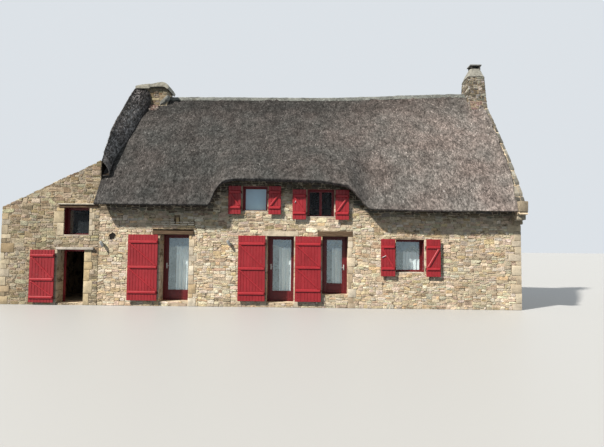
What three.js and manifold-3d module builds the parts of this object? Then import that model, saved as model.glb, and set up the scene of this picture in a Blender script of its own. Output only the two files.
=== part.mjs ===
// A thatched stone cottage with a stone lean-to annex, in millimetres, +Z up.
// X runs west to east along the front, Y from the front (-) to the back (+).
// The origin is at ground level under the middle of the ridge.
import * as THREE from "three";
import { mergeVertices } from "three/addons/utils/BufferGeometryUtils.js";
import Module from "manifold-3d";

const wasm = await Module();
wasm.setup();

// Walls of the main house
const WEST = -6900;
const EAST = 6950;
const FRONT = -3100;
const BACK = 3100;
const WALL = 600;
const IN_WEST = WEST + WALL;
const IN_EAST = EAST - WALL;
const IN_FRONT = FRONT + WALL;
const IN_BACK = BACK - WALL;
const FLOOR = 150;
const BAND = 2250;
const UPPER_FLOOR = { bottom: 2500, top: 2650 };
const SEAT = 0.3;

// Thatch: heights of its upper surface at the ridge and at the eaves
const RIDGE = 7940;
const RIDGE_RISE = { height: 175, start: 300, length: 5900 };
const EAVE_UNDERSIDE = 3270;
const EAVE_FALL = { height: 130, start: -3000, length: 7500 };
const EAVE_FACE = 290;
const EAVE_OUT = 500;
const EAVE_UNDERCUT = 150;
const THATCH_DROP = 480;
const SLOPE_BULGE = 90;
const THATCH_WEST = WEST + 5;
const VERGE_STONE = 295;
const THATCH_EAST = EAST - VERGE_STONE - SEAT;
const KNEELER = { over: 40, top: 3520, step: 3120, foot: 2750 };

// Brow: the stretch of eaves that is lifted over the two upper windows
const BROW = {
  lift: 900,
  westStart: -3400,
  westLength: 850,
  fade: 0.14,
  fadeStart: 200,
  fadeLength: 1200,
  eastStart: 1200,
  eastLength: 850,
  top: 0.35,
  power: 1.5,
};

// Annex: a lean-to with its front wall flush with the main front
const ANNEX_WEST = -10160;
const ANNEX_TOP = { west: 3215, east: 4810 };
const ANNEX_ROOF = { below: 60, thick: 130, out: 150 };
const ANNEX_FLOOR = 60;
const ANNEX_LOFT = { bottom: 1960, top: 2060 };
const ANNEX_SLAB = { bottom: 1810, top: 1900, west: -8300, east: -7040, out: 60 };
const ANNEX_LINTEL = { west: -8265, east: -6950, thick: 140 };

// Openings: west and east edges, bottom and top, and how far the frame is set back
const DOORS = {
  door_a: { west: -4870, east: -3905, bottom: FLOOR, top: 2345, hinge: 1 },
  door_b: { west: -1345, east: -450, bottom: FLOOR, top: 2320, hinge: 1 },
  door_c: { west: 475, east: 1325, bottom: 420, top: 2325, hinge: -1 },
};
const LINTELS = {
  door_a: { kind: "timber", out: 30, west: 250, east: 150 },
  door_b: { kind: "stone", out: 0, west: 150, east: 150 },
  door_c: { kind: "timber", out: 0, west: 150, east: 150 },
};
const LINTEL_HEIGHT = 170;
const WINDOWS = {
  window_ground: { west: 2880, east: 3810, bottom: 1150, top: BAND, set: 330, mullion: true },
  window_upper_west: { west: -2170, east: -1340, bottom: 3120, top: 3970, set: 250 },
  window_upper_east: { west: -30, east: 860, bottom: 2950, top: 3880, set: 250, mullion: true },
  window_annex: { west: -8085, east: -7235, bottom: 2275, top: 3205, set: 230 },
};
const REAR_WINDOWS = {
  window_rear_west: { west: -3900, east: -3000, bottom: 1180, top: BAND, set: 250, mullion: true },
  window_rear_east: { west: 2300, east: 3200, bottom: 1180, top: BAND, set: 250, mullion: true },
};
const ANNEX_DOOR = { west: -8260, east: -7360, bottom: ANNEX_FLOOR, top: ANNEX_SLAB.bottom };
const NICHE = { west: -4420, east: -4220, bottom: 2660, top: 2980, depth: 150 };

// Joinery
const FRAME = { wide: 60, thick: 60, sill: 30 };
const DOOR_SET = 430;
const LEAF = { thick: 44, stile: 95, bottomRail: 300, clear: 7, pane: 12, setBack: 8 };
const HINGE = { radius: 8, out: 17, side: 2, length: 45, plate: 45, aboveFoot: 300, belowHead: 400 };
const HANDLE = {
  height: 1300,
  plateWide: 36,
  plateTall: 180,
  plateThick: 6,
  bar: 18,
  out: 50,
  lever: 110,
  grip: 14,
};
const GLASS_REBATE = 20;
const MULLION = 80;
const SILL = { thick: 35, in: 10, under: 5 };

// Shutters: a board leaf with ledges and braces, hung on iron pins set in the wall
const SHUTTER = {
  board: 30,
  ledge: 22,
  ledgeWide: 95,
  brace: 80,
  edge: 16,
  inset: 15,
  overlapBack: 2,
  strap: 5,
  strapWide: 40,
  strapReach: 0.8,
};
const PIN = { out: 60, side: 20, radius: 6.5, bore: 8, knuckle: 13, height: 60, arm: 8, deep: 20 };
const SHUTTERS = [
  shutter("shutter_a", DOORS.door_a.west, -1, 985, [180, 2330], [450, 1265, 2090]),
  shutter("shutter_b", DOORS.door_b.west, -1, 890, [200, 2330], [450, 1250, 2060]),
  shutter("shutter_c", DOORS.door_c.west, -1, 850, [200, 2315], [560, 1300, 2060]),
  shutter("shutter_ground_west", WINDOWS.window_ground.west, -1, 465, [1050, 2260], [1300, 2000]),
  shutter("shutter_ground_east", WINDOWS.window_ground.east, 1, 465, [1050, 2260], [1300, 2000]),
  shutter("shutter_upper_west_l", WINDOWS.window_upper_west.west, -1, 415, [3030, 3960], [3250, 3760]),
  shutter("shutter_upper_west_r", WINDOWS.window_upper_west.east, 1, 415, [3030, 3960], [3250, 3760]),
  shutter("shutter_upper_east_l", WINDOWS.window_upper_east.west, -1, 445, [2870, 3860], [3080, 3650]),
  shutter("shutter_upper_east_r", WINDOWS.window_upper_east.east, 1, 445, [2870, 3860], [3080, 3650]),
  shutter("annex_door", ANNEX_DOOR.west, -1, 820, [80, 1800], [250, 830, 1610]),
];

function shutter(name, at, side, wide, [bottom, top], ledges) {
  return { name, at, side, wide, bottom, top, ledges };
}

// Chimneys and ridge
const WEST_STACK = { west: WEST + 10, east: -5650, half: 350, seat: 6300, corbel: 7000, top: 8250 };
const HOOD = {
  over: 100,
  east: -5400,
  foot: 7950,
  inner: [[-5640, 8250], [-5560, 8180], [-5490, 7950]],
  crest: [[-5400, 8060], [-5560, 8340], [-5830, 8475], [-6300, 8400], [-6800, 8340]],
  steps: 12,
};
const EAST_STACK = {
  west: 6250,
  east: EAST,
  seat: 7000,
  base: { half: 610, top: 7390 },
  waist: { half: 500, top: 7760 },
  shoulder: { half: 370, top: 8750 },
  ledge: { out: 30, thick: 45 },
  flue: { half: 215, top: 9150, lean: -30 },
};
const CHIMNEY_CAP = { half: 280, bottom: 9270, top: 9335, leg: 35, legAt: 150 };
const RIDGE_CAP = { half: 100, thick: 70, lip: 40 };
const VERGE_RAISE = 90;

// Thatch dressed over the raised west gable. A row gives the distance from the ridge, the
// width over the roof, the height above it, and how far the roll stands past the gable.
const VERGE_ROLL = [
  { d: 355, wide: 550, high: 700, out: 110 },
  { d: 700, wide: 410, high: 740, out: 110 },
  { d: 1300, wide: 370, high: 750, out: 110 },
  { d: 1900, wide: 290, high: 790, out: 110 },
  { d: 2300, wide: 230, high: 820, out: 100 },
  { d: 2600, wide: 200, high: 800, out: 4 },
  { d: 2850, wide: 180, high: 700, out: 4 },
  { d: 3050, wide: 160, high: 560, out: 4 },
];
const ROLL_SECTION = [
  [-1, 0],
  [-1, 0.68],
  [-0.6, 0.87],
  [0, 0.96],
  [0.18, 1],
  [0.42, 0.94],
  [0.66, 0.74],
  [0.86, 0.42],
  [1, 0.1],
  [1, 0],
];

// Wall lamps: a slanted head on a bracket and a back plate, around a point x, z of the wall
const LAMPS = { wall_lamp_west: [-6760, 2010], wall_lamp_middle: [-2590, 2080] };
const LAMP = {
  plate: { wide: 60, tall: 100, thick: 12 },
  bracket: { wide: 26, out: 40 },
  head: [[-70, 60], [-35, 100], [15, 85], [72, -45], [62, -98], [18, -100], [-60, 20]],
  near: 35,
  far: 125,
};

const material = (color, roughness, metalness = 0) =>
  new THREE.MeshStandardMaterial({ color, roughness, metalness });
const STONE = material(0xc9ad82, 0.95);
const THATCH = material(0x6f665d, 1);
const CEMENT = material(0xa3a195, 0.9);
const SLATE = material(0x4a4f55, 0.7);
const PLANK = material(0x8a6a4c, 0.85);
const TIMBER = material(0x6e4b33, 0.85);
const SLAB = material(0xb7ae98, 0.95);
const RED = material(0xa3232f, 0.55);
const FRAME_RED = material(0x7a1f2a, 0.5);
const METAL = material(0x8f9490, 0.6, 0.4);

const clamp01 = (s) => Math.min(1, Math.max(0, s));
const smooth = (s) => clamp01(s) ** 2 * (3 - 2 * clamp01(s));

function steps(from, to, count) {
  return Array.from({ length: count }, (_, i) => from + ((to - from) * i) / (count - 1));
}

// Roof surface: heights above the ground at x, and at a distance d from the ridge line
const ridgeHeight = (x) =>
  RIDGE + RIDGE_RISE.height * smooth((x - RIDGE_RISE.start) / RIDGE_RISE.length);

const eaveHeight = (x) =>
  EAVE_UNDERSIDE + EAVE_FACE - EAVE_FALL.height * smooth((x - EAVE_FALL.start) / EAVE_FALL.length);

function browLift(x) {
  const rise = smooth((x - BROW.westStart) / BROW.westLength);
  const fade = BROW.fade * smooth((x - BROW.fadeStart) / BROW.fadeLength);
  const fall = (1 - BROW.fade) * smooth((x - BROW.eastStart) / BROW.eastLength);
  return BROW.lift * (rise - fade - fall);
}

function thatchTop(x, d, brow) {
  const t = d / (-FRONT + EAVE_OUT);
  const plane = ridgeHeight(x) * (1 - t) + eaveHeight(x) * t + SLOPE_BULGE * Math.sin(Math.PI * t);
  const lift = brow ? browLift(x) * clamp01((t - BROW.top) / (1 - BROW.top)) ** BROW.power : 0;
  return plane + lift;
}

const thatchUnderside = (x, d, brow) => thatchTop(x, d, brow) - THATCH_DROP;

const COLUMNS = [
  ...steps(THATCH_WEST, BROW.westStart, 4),
  ...steps(-3300, -2550, 8),
  ...steps(-2200, 200, 5),
  ...steps(500, 1200, 4),
  ...steps(1300, 2050, 8),
  ...steps(2600, 6200, 7),
  THATCH_EAST,
];
const TOP_ROWS = [0, 500, 1000, 1500, 2000, 2400, 2800, 3100, 3350, 3520, 3600];
const UNDER_ROWS = [0, 500, 1000, 1500, 2000, 2400, 2800, 3100, 3250, 3360, 3600 - EAVE_UNDERCUT];

// Solids
function toSolid(geometry) {
  const plain = geometry.index ? geometry.toNonIndexed() : geometry.clone();
  plain.deleteAttribute("normal");
  plain.deleteAttribute("uv");
  const merged = mergeVertices(plain, 1e-3);
  return new wasm.Manifold(
    new wasm.Mesh({
      numProp: 3,
      vertProperties: merged.attributes.position.array,
      triVerts: new Uint32Array(merged.index.array),
    }),
  );
}

function toGeometry(solid) {
  const mesh = solid.getMesh();
  const points = new Float32Array(mesh.numVert * 3);
  for (let i = 0; i < mesh.numVert; i++)
    points.set(mesh.vertProperties.subarray(i * mesh.numProp, i * mesh.numProp + 3), i * 3);
  const geometry = new THREE.BufferGeometry();
  geometry.setAttribute("position", new THREE.BufferAttribute(points, 3));
  geometry.setIndex(new THREE.BufferAttribute(new Uint32Array(mesh.triVerts), 1));
  geometry.computeVertexNormals();
  return geometry;
}

function block(x0, x1, y0, y1, z0, z1) {
  const geometry = new THREE.BoxGeometry(Math.abs(x1 - x0), y1 - y0, z1 - z0);
  geometry.translate((x0 + x1) / 2, (y0 + y1) / 2, (z0 + z1) / 2);
  return toSolid(geometry);
}

const outline = (points) => new THREE.Shape(points.map(([u, v]) => new THREE.Vector2(u, v)));

function curve(points, count) {
  const line = new THREE.SplineCurve(points.map(([u, v]) => new THREE.Vector2(u, v)));
  return line.getPoints(count).map(({ x, y }) => [x, y]);
}

// An outline in the XZ plane, extruded from y0 to y1
function frontPrism(points, y0, y1) {
  const depth = y1 - y0;
  const geometry = new THREE.ExtrudeGeometry(outline(points), { depth, bevelEnabled: false });
  geometry.rotateX(Math.PI / 2);
  geometry.translate(0, y1, 0);
  return toSolid(geometry);
}

// An outline in the YZ plane, extruded from x0 to x1
function sidePrism(points, x0, x1) {
  const depth = x1 - x0;
  const geometry = new THREE.ExtrudeGeometry(outline(points), { depth, bevelEnabled: false });
  geometry.applyMatrix4(new THREE.Matrix4().set(0, 0, 1, x0, 1, 0, 0, 0, 0, 1, 0, 0, 0, 0, 0, 1));
  return toSolid(geometry);
}

function upright(x, y, z0, z1, radius, sides = 12) {
  const geometry = new THREE.CylinderGeometry(radius, radius, z1 - z0, sides);
  geometry.rotateX(Math.PI / 2);
  geometry.translate(x, y, (z0 + z1) / 2);
  return toSolid(geometry);
}

// A solid through a row of closed rings; flat(point) gives a ring's two plane coordinates
function loft(rings, flat) {
  const count = rings[0].length;
  const faces = [];
  for (let k = 0; k < rings.length - 1; k++)
    for (let i = 0; i < count; i++) {
      const j = (i + 1) % count;
      const [a, b, c, d] = [k * count + i, k * count + j, (k + 1) * count + j, (k + 1) * count + i];
      faces.push([a, b, c], [a, c, d]);
    }
  const endCap = (k, sign) => {
    const contour = rings[k].map((p) => new THREE.Vector2(...flat(p)));
    const turn = Math.sign(THREE.ShapeUtils.area(contour)) * sign;
    for (const face of THREE.ShapeUtils.triangulateShape(contour, [])) {
      const facing = Math.sign(THREE.ShapeUtils.area(face.map((i) => contour[i])));
      const ordered = facing === turn ? face : [...face].reverse();
      faces.push(ordered.map((i) => k * count + i));
    }
  };
  endCap(0, -1);
  endCap(rings.length - 1, 1);
  const build = (list) => {
    const geometry = new THREE.BufferGeometry();
    geometry.setAttribute("position", new THREE.BufferAttribute(new Float32Array(rings.flat(2)), 3));
    geometry.setIndex(list.flat());
    return toSolid(geometry);
  };
  const made = build(faces);
  return made.volume() > 0 ? made : build(faces.map((face) => [...face].reverse()));
}

const unite = (solids) => solids.reduce((sum, next) => sum.add(next));
const without = (solid, cuts) => cuts.reduce((left, cut) => left.subtract(cut), solid);

const house = new THREE.Group();

function addPiece(name, solid, look, parent = house) {
  const mesh = new THREE.Mesh(toGeometry(solid), look);
  mesh.name = name;
  parent.add(mesh);
  return mesh;
}

// Iron pins: a block in the wall face and an upright pin, under each shutter knuckle
const pinX = (shutter) => shutter.at + shutter.side * PIN.side;

function wallPins(shutter) {
  const x = pinX(shutter);
  const y = FRONT - PIN.out;
  const heights = [shutter.ledges[0], shutter.ledges.at(-1)];
  return heights.flatMap((z) => {
    const seat = z - PIN.height / 2 - SEAT;
    return [
      block(x - PIN.arm, x + PIN.arm, y - PIN.arm, FRONT + 5, seat - PIN.deep, seat),
      upright(x, y, seat - PIN.deep / 2, z + PIN.height / 2 - 10, PIN.radius),
    ];
  });
}

const pinsOf = (...names) =>
  SHUTTERS.filter((s) => names.includes(s.name)).flatMap(wallPins);

const openingCut = (o, y0 = FRONT - 50, y1 = IN_FRONT + 50) =>
  block(o.west, o.east, y0, y1, o.bottom, o.top);

function lintelBlock(name, y0, y1, room) {
  const door = DOORS[name];
  const { west, east } = LINTELS[name];
  const top = door.top + LINTEL_HEIGHT;
  return block(door.west - west - room, door.east + east + room, y0, y1, door.top - room, top + room);
}

function buildFrontWall() {
  const { door_a: a, door_b: b, door_c: c } = DOORS;
  const base = FLOOR + SEAT;
  const top = BAND - SEAT;
  const pier = (x0, x1) => block(x0, x1, FRONT, IN_FRONT, base, top);
  const course = block(IN_WEST + SEAT, IN_EAST - SEAT, FRONT, IN_FRONT, 0, FLOOR);
  const step = block(c.west + SEAT, c.east - SEAT, FRONT, IN_FRONT, FLOOR - 10, c.bottom - SEAT);
  addPiece("front_wall_base", unite([course, step]), STONE);
  addPiece("front_wall_west", unite([pier(IN_WEST + SEAT, a.west), ...pinsOf("shutter_a")]), STONE);
  addPiece("front_wall_between_a_b", unite([pier(a.east, b.west), ...pinsOf("shutter_b")]), STONE);
  addPiece("front_wall_between_b_c", unite([pier(b.east, c.west), ...pinsOf("shutter_c")]), STONE);
  const window = openingCut({ ...WINDOWS.window_ground, top: BAND + 10 });
  const east = without(pier(c.east, IN_EAST - SEAT), [window]);
  addPiece("front_wall_east", unite([east, ...pinsOf("shutter_ground_west", "shutter_ground_east")]), STONE);
}

function buildUpperFrontWall() {
  const x0 = IN_WEST + SEAT;
  const x1 = IN_EAST - SEAT;
  const inside = COLUMNS.filter((x) => x > x0 && x < x1);
  const crown = [x1, ...inside.reverse(), x0].map((x) => [x, thatchUnderside(x, -FRONT, true) - SEAT]);
  const band = frontPrism([[x0, BAND], [x1, BAND], ...crown], FRONT, IN_FRONT);
  const cuts = [
    ...Object.values(DOORS).map((door) => openingCut(door)),
    ...Object.keys(DOORS).map((name) => lintelBlock(name, FRONT - 50, IN_FRONT + 50, SEAT)),
    openingCut(WINDOWS.window_upper_west),
    openingCut(WINDOWS.window_upper_east),
    block(NICHE.west, NICHE.east, FRONT - 50, FRONT + NICHE.depth, NICHE.bottom, NICHE.top),
  ];
  const pins = [
    ...pinsOf("shutter_upper_west_l", "shutter_upper_west_r"),
    ...pinsOf("shutter_upper_east_l", "shutter_upper_east_r"),
  ];
  addPiece("front_wall_upper", unite([without(band, cuts), ...pins]), STONE);
}

function buildLintels() {
  for (const [name, { kind, out }] of Object.entries(LINTELS))
    addPiece(`lintel_${name}`, lintelBlock(name, FRONT - out, IN_FRONT, 0), kind === "stone" ? SLAB : TIMBER);
}

function buildRearWall() {
  const x0 = IN_WEST + SEAT;
  const x1 = IN_EAST - SEAT;
  const inside = COLUMNS.filter((x) => x > x0 && x < x1);
  const crown = [x1, ...inside.reverse(), x0].map((x) => [x, thatchUnderside(x, BACK, false) - SEAT]);
  const wall = frontPrism([[x0, 0], [x1, 0], ...crown], IN_BACK, BACK);
  const cuts = Object.values(REAR_WINDOWS).map((w) => openingCut(w, IN_BACK - 50, BACK + 50));
  addPiece("rear_wall", without(wall, cuts), STONE);
}

// A gable outline: z against y, from the front foot over the ridge to the back foot
function gableOutline(x) {
  const rows = UNDER_ROWS.filter((d) => d <= BACK);
  const slope = rows.map((d) => [d, thatchUnderside(x, d, false) - SEAT]);
  const back = [...slope].reverse();
  const front = slope.slice(1).map(([d, z]) => [-d, z]);
  return [[FRONT, 0], [BACK, 0], ...back, ...front];
}

function stackHole(half, x0, x1, z0) {
  return block(x0, x1, -half - SEAT, half + SEAT, z0, EAST_STACK.flue.top);
}

function buildWestGableWall() {
  const wall = sidePrism(gableOutline(WEST), WEST, IN_WEST);
  const hole = stackHole(WEST_STACK.half, WEST - 10, IN_WEST + 10, WEST_STACK.seat);
  addPiece("west_gable_wall", without(wall, [hole]), STONE);
}

// The east gable carries a raised stone verge, which ends in a kneeler at each eave
function buildEastGableWall() {
  const wall = sidePrism(gableOutline(EAST), IN_EAST, EAST);
  const reach = -FRONT + EAVE_OUT;
  const slope = TOP_ROWS.map((d) => [d, thatchTop(EAST, d, false) + VERGE_RAISE]);
  const kneeler = [[reach + KNEELER.over, KNEELER.top], [reach, KNEELER.step], [-FRONT, KNEELER.foot]];
  const half = [...slope, ...kneeler];
  const front = half.slice(1).map(([d, z]) => [-d, z]);
  const verge = sidePrism([[0, KNEELER.foot], ...half.reverse(), ...front], EAST - VERGE_STONE, EAST);
  const hole = stackHole(EAST_STACK.base.half, IN_EAST - 200, EAST + 10, EAST_STACK.seat);
  addPiece("east_gable_wall", without(unite([wall, verge]), [hole]), STONE);
}

const annexTop = (x) =>
  ANNEX_TOP.west + ((ANNEX_TOP.east - ANNEX_TOP.west) * (x - ANNEX_WEST)) / (WEST - ANNEX_WEST);

function buildAnnexFront() {
  const east = WEST - SEAT;
  const door = ANNEX_DOOR;
  const pierTop = ANNEX_SLAB.bottom - SEAT;
  const westPier = block(ANNEX_WEST, door.west, FRONT, IN_FRONT, 0, pierTop);
  addPiece("annex_front_wall_west", unite([westPier, ...pinsOf("annex_door")]), STONE);
  addPiece("annex_front_wall_east", block(door.east, east, FRONT, IN_FRONT, 0, pierTop), STONE);

  const foot = ANNEX_SLAB.bottom;
  const band = frontPrism(
    [[ANNEX_WEST, foot], [east, foot], [east, annexTop(east)], [ANNEX_WEST, annexTop(ANNEX_WEST)]],
    FRONT,
    IN_FRONT,
  );
  const head = WINDOWS.window_annex.top;
  const timber = { ...ANNEX_LINTEL, bottom: head, top: head + ANNEX_LINTEL.thick };
  const bearings = [
    { name: "lintel_annex_window", ...timber, look: TIMBER },
    { name: "lintel_annex_door", ...ANNEX_SLAB, look: SLAB },
  ];
  const cuts = bearings.map(({ west: x0, east: x1, bottom: z0, top: z1 }) =>
    block(x0 - SEAT, x1 + SEAT, FRONT - 10, IN_FRONT + 10, z0 - SEAT, z1 + SEAT),
  );
  addPiece("annex_front_wall_upper", without(band, [...cuts, openingCut(WINDOWS.window_annex)]), STONE);
  for (const { name, west: x0, east: x1, bottom: z0, top: z1, look } of bearings)
    addPiece(name, block(x0, x1, FRONT - ANNEX_SLAB.out, IN_FRONT, z0, z1), look);
}

// The lean-to roof, and the walls and floors under it
function buildAnnexShell() {
  const east = WEST - SEAT;
  const door = ANNEX_DOOR;
  const roofTop = (x) => annexTop(x) - ANNEX_ROOF.below;
  const roofUnder = (x) => roofTop(x) - ANNEX_ROOF.thick;
  const wallTop = (x) => roofUnder(x) - SEAT;
  const wallUnderRoof = (x0, x1) => [[x0, 0], [x1, 0], [x1, wallTop(x1)], [x0, wallTop(x0)]];
  const inWest = ANNEX_WEST + WALL;
  const endWall = wallUnderRoof(ANNEX_WEST, inWest);
  addPiece("annex_end_wall", frontPrism(endWall, IN_FRONT + SEAT, IN_BACK - SEAT), STONE);
  addPiece("annex_rear_wall", frontPrism(wallUnderRoof(ANNEX_WEST, east), IN_BACK, BACK), STONE);
  const edge = ANNEX_WEST - ANNEX_ROOF.out;
  addPiece(
    "annex_roof",
    frontPrism(
      [[edge, roofUnder(edge)], [east, roofUnder(east)], [east, roofTop(east)], [edge, roofTop(edge)]],
      IN_FRONT + SEAT,
      BACK + ANNEX_ROOF.out,
    ),
    SLATE,
  );

  const room = block(inWest + SEAT, east, IN_FRONT + SEAT, IN_BACK - SEAT, 0, ANNEX_FLOOR);
  const threshold = block(door.west + SEAT, door.east - SEAT, FRONT, IN_FRONT + 10, 0, ANNEX_FLOOR - SEAT);
  addPiece("annex_floor", unite([room, threshold]), SLAB);
  const { bottom, top } = ANNEX_LOFT;
  const loft = block(inWest + SEAT, east, IN_FRONT + SEAT, IN_BACK - SEAT, bottom, top);
  addPiece("annex_loft_floor", loft, PLANK);
}

function buildAnnexDoorFrame() {
  const door = ANNEX_DOOR;
  const top = ANNEX_SLAB.bottom - SEAT;
  const y0 = FRONT + DOOR_SET;
  const ring = block(door.west + SEAT, door.east - SEAT, y0, y0 + FRAME.thick, ANNEX_FLOOR, top);
  const hole = block(door.west + FRAME.wide, door.east - FRAME.wide, y0 - 10, y0 + 100, 0, top - FRAME.wide);
  addPiece("annex_door_frame", without(ring, [hole]), FRAME_RED);
}

function buildFloors() {
  const slab = (z0, z1) => block(IN_WEST + SEAT, IN_EAST - SEAT, IN_FRONT + SEAT, IN_BACK - SEAT, z0, z1);
  addPiece("ground_floor", slab(0, FLOOR), SLAB);
  addPiece("upper_floor", slab(UPPER_FLOOR.bottom, UPPER_FLOOR.top), PLANK);
}

function thatchSlope(side, brow) {
  const rings = COLUMNS.map((x) => {
    const upper = TOP_ROWS.map((d) => [x, side * (d || SEAT / 2), thatchTop(x, d, brow)]);
    const lower = UNDER_ROWS.map((d) => [x, side * (d || SEAT / 2), thatchUnderside(x, d, brow)]);
    return [...upper, ...lower.reverse()];
  });
  return loft(rings, ([, y, z]) => [y, z]);
}

function buildThatch() {
  const holes = [
    stackHole(WEST_STACK.half, WEST_STACK.west - 20, WEST_STACK.east + SEAT, WEST_STACK.seat),
    stackHole(EAST_STACK.base.half, EAST_STACK.west - SEAT, EAST, WEST_STACK.seat),
  ];
  addPiece("thatch_front", without(thatchSlope(-1, true), holes), THATCH);
  addPiece("thatch_rear", without(thatchSlope(1, false), holes), THATCH);
}

function vergeRoll(side) {
  const rings = VERGE_ROLL.map(({ d, wide, high, out }) =>
    ROLL_SECTION.map(([u, v]) => {
      const x = THATCH_WEST + u * (u < 0 ? out : wide);
      return [x, side * d, thatchTop(THATCH_WEST, d, false) + SEAT + v * high];
    }),
  );
  return loft(rings, ([x, , z]) => [x, z]);
}

function buildVergeRolls() {
  // The thatch between two of its rows is straight, so the roll is trimmed to it
  const seat = (side) => thatchSlope(side, false).translate(0, 0, SEAT);
  for (const [name, side] of [["west_verge_thatch_front", -1], ["west_verge_thatch_rear", 1]])
    addPiece(name, without(vergeRoll(side), [seat(side)]), THATCH);
}

function buildRidgeCap() {
  const { half, thick, lip } = RIDGE_CAP;
  const fall = (x) => (ridgeHeight(x) - thatchTop(x, 500, false)) / 500;
  const ends = [HOOD.east + SEAT, EAST_STACK.west - SEAT];
  const stations = [ends[0], ...COLUMNS.filter((x) => x > ends[0] && x < ends[1]), ends[1]];
  const rings = stations.map((x) => {
    const top = ridgeHeight(x);
    const low = top - fall(x) * half;
    return [
      [x, -half, low + 1],
      [x, -half, low + lip],
      [x, -half * 0.45, top + thick * 0.62],
      [x, 0, top + thick],
      [x, half * 0.45, top + thick * 0.62],
      [x, half, low + lip],
      [x, half, low + 1],
      [x, 0, top + 1],
    ];
  });
  addPiece("ridge_cap", loft(rings, ([, y, z]) => [y, z]), CEMENT);
}

function buildWestChimney() {
  const { west, east, half, seat, corbel, top } = WEST_STACK;
  const body = frontPrism(
    [[west, seat], [IN_WEST, seat], [east, corbel], [east, top], [west, top]],
    -half,
    half,
  );
  addPiece("west_chimney_stack", body, STONE);
  const { over, foot, inner, crest, steps: count } = HOOD;
  const under = curve(inner, count).map(([x, z]) => [x, z + SEAT]);
  const hood = frontPrism(
    [[west, top + SEAT], ...under, [HOOD.east, foot], ...curve(crest, count), [west, crest.at(-1)[1] - 40]],
    -half - over,
    half + over,
  );
  addPiece("west_chimney_hood", hood, CEMENT);
}

function buildEastChimney() {
  const { west, east, seat, base, waist, shoulder, ledge, flue } = EAST_STACK;
  const middle = (west + east) / 2;
  const level = (centre, halfWide, half, z) => [
    [centre - halfWide, -half, z],
    [centre + halfWide, -half, z],
    [centre + halfWide, half, z],
    [centre - halfWide, half, z],
  ];
  const halfWide = (east - west) / 2;
  const ledgeHalf = shoulder.half + ledge.out;
  const stack = loft(
    [
      level(middle, halfWide, base.half, seat),
      level(middle, halfWide, base.half, base.top),
      level(middle, halfWide, waist.half, waist.top),
      level(middle, halfWide - ledge.out, shoulder.half, shoulder.top),
      level(middle, halfWide, ledgeHalf, shoulder.top + 5),
      level(middle, halfWide, ledgeHalf, shoulder.top + ledge.thick),
      level(middle + flue.lean, flue.half, flue.half, flue.top),
    ],
    ([x, y]) => [x, y],
  );
  addPiece("east_chimney_stack", stack, STONE);

  const { half, bottom, top, leg, legAt } = CHIMNEY_CAP;
  const centre = middle + flue.lean;
  const legs = [-1, 1].flatMap((sx) =>
    [-1, 1].map((sy) => {
      const x = centre + sx * legAt;
      const y = sy * legAt;
      return block(x - leg, x + leg, y - leg, y + leg, flue.top + SEAT, bottom + 5);
    }),
  );
  const plate = block(centre - half, centre + half, -half, half, bottom, top);
  addPiece("east_chimney_cap", unite([plate, ...legs]), SLAB);
}

function windowSolid(opening, outer, inward) {
  const { west, east, bottom, top, set, mullion } = opening;
  const x0 = west + SEAT;
  const x1 = east - SEAT;
  const face = outer + inward * set;
  const span = (from, to) => [Math.min(from, to), Math.max(from, to)];
  const [y0, y1] = span(face, face + inward * FRAME.thick);
  const z0 = bottom + SEAT;
  const z1 = top - SEAT;
  const ring = block(x0, x1, y0, y1, z0, z1);
  const hole = block(x0 + FRAME.wide, x1 - FRAME.wide, y0 - 10, y1 + 10, z0 + FRAME.wide, z1 - FRAME.wide);
  const middle = (y0 + y1) / 2;
  const r = GLASS_REBATE;
  const pane = block(x0 + r, x1 - r, middle - LEAF.pane / 2, middle + LEAF.pane / 2, z0 + r, z1 - r);
  const [s0, s1] = span(outer + inward * SILL.in, face + inward * SILL.under);
  const sill = block(x0, x1, s0, s1, z0, z0 + SILL.thick);
  const centre = (x0 + x1) / 2;
  const bars = mullion ? [block(centre - MULLION / 2, centre + MULLION / 2, y0, y1, z0 + r, z1 - r)] : [];
  return unite([without(ring, [hole]), pane, sill, ...bars]);
}

function buildWindows() {
  for (const [name, opening] of Object.entries(WINDOWS))
    addPiece(name, windowSolid(opening, FRONT, 1), FRAME_RED);
  for (const [name, opening] of Object.entries(REAR_WINDOWS))
    addPiece(name, windowSolid(opening, BACK, -1), FRAME_RED);
}

// Glazed doors: a fixed frame, and a leaf that opens inwards on two barrel hinges
const hingeHeights = (door) => [door.bottom + HINGE.aboveFoot, door.top - HINGE.belowHead];

function doorHinge(door) {
  const edge = door.hinge > 0 ? door.east - FRAME.wide : door.west + FRAME.wide;
  return {
    x: edge - door.hinge * HINGE.side,
    y: FRONT + DOOR_SET + LEAF.setBack + LEAF.thick + HINGE.out,
  };
}

function hingePlate(axis, direction, y0, z0) {
  const near = axis.x + direction * HINGE.side;
  const far = axis.x + direction * HINGE.plate;
  return block(Math.min(near, far), Math.max(near, far), y0, axis.y - 4, z0, z0 + HINGE.length);
}

function leafEdges(door) {
  return {
    x0: door.west + FRAME.wide + LEAF.clear,
    x1: door.east - FRAME.wide - LEAF.clear,
    y0: FRONT + DOOR_SET + LEAF.setBack,
    y1: FRONT + DOOR_SET + LEAF.setBack + LEAF.thick,
    z0: door.bottom + FRAME.sill + LEAF.clear,
    z1: door.top - FRAME.wide - LEAF.clear,
  };
}

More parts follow.
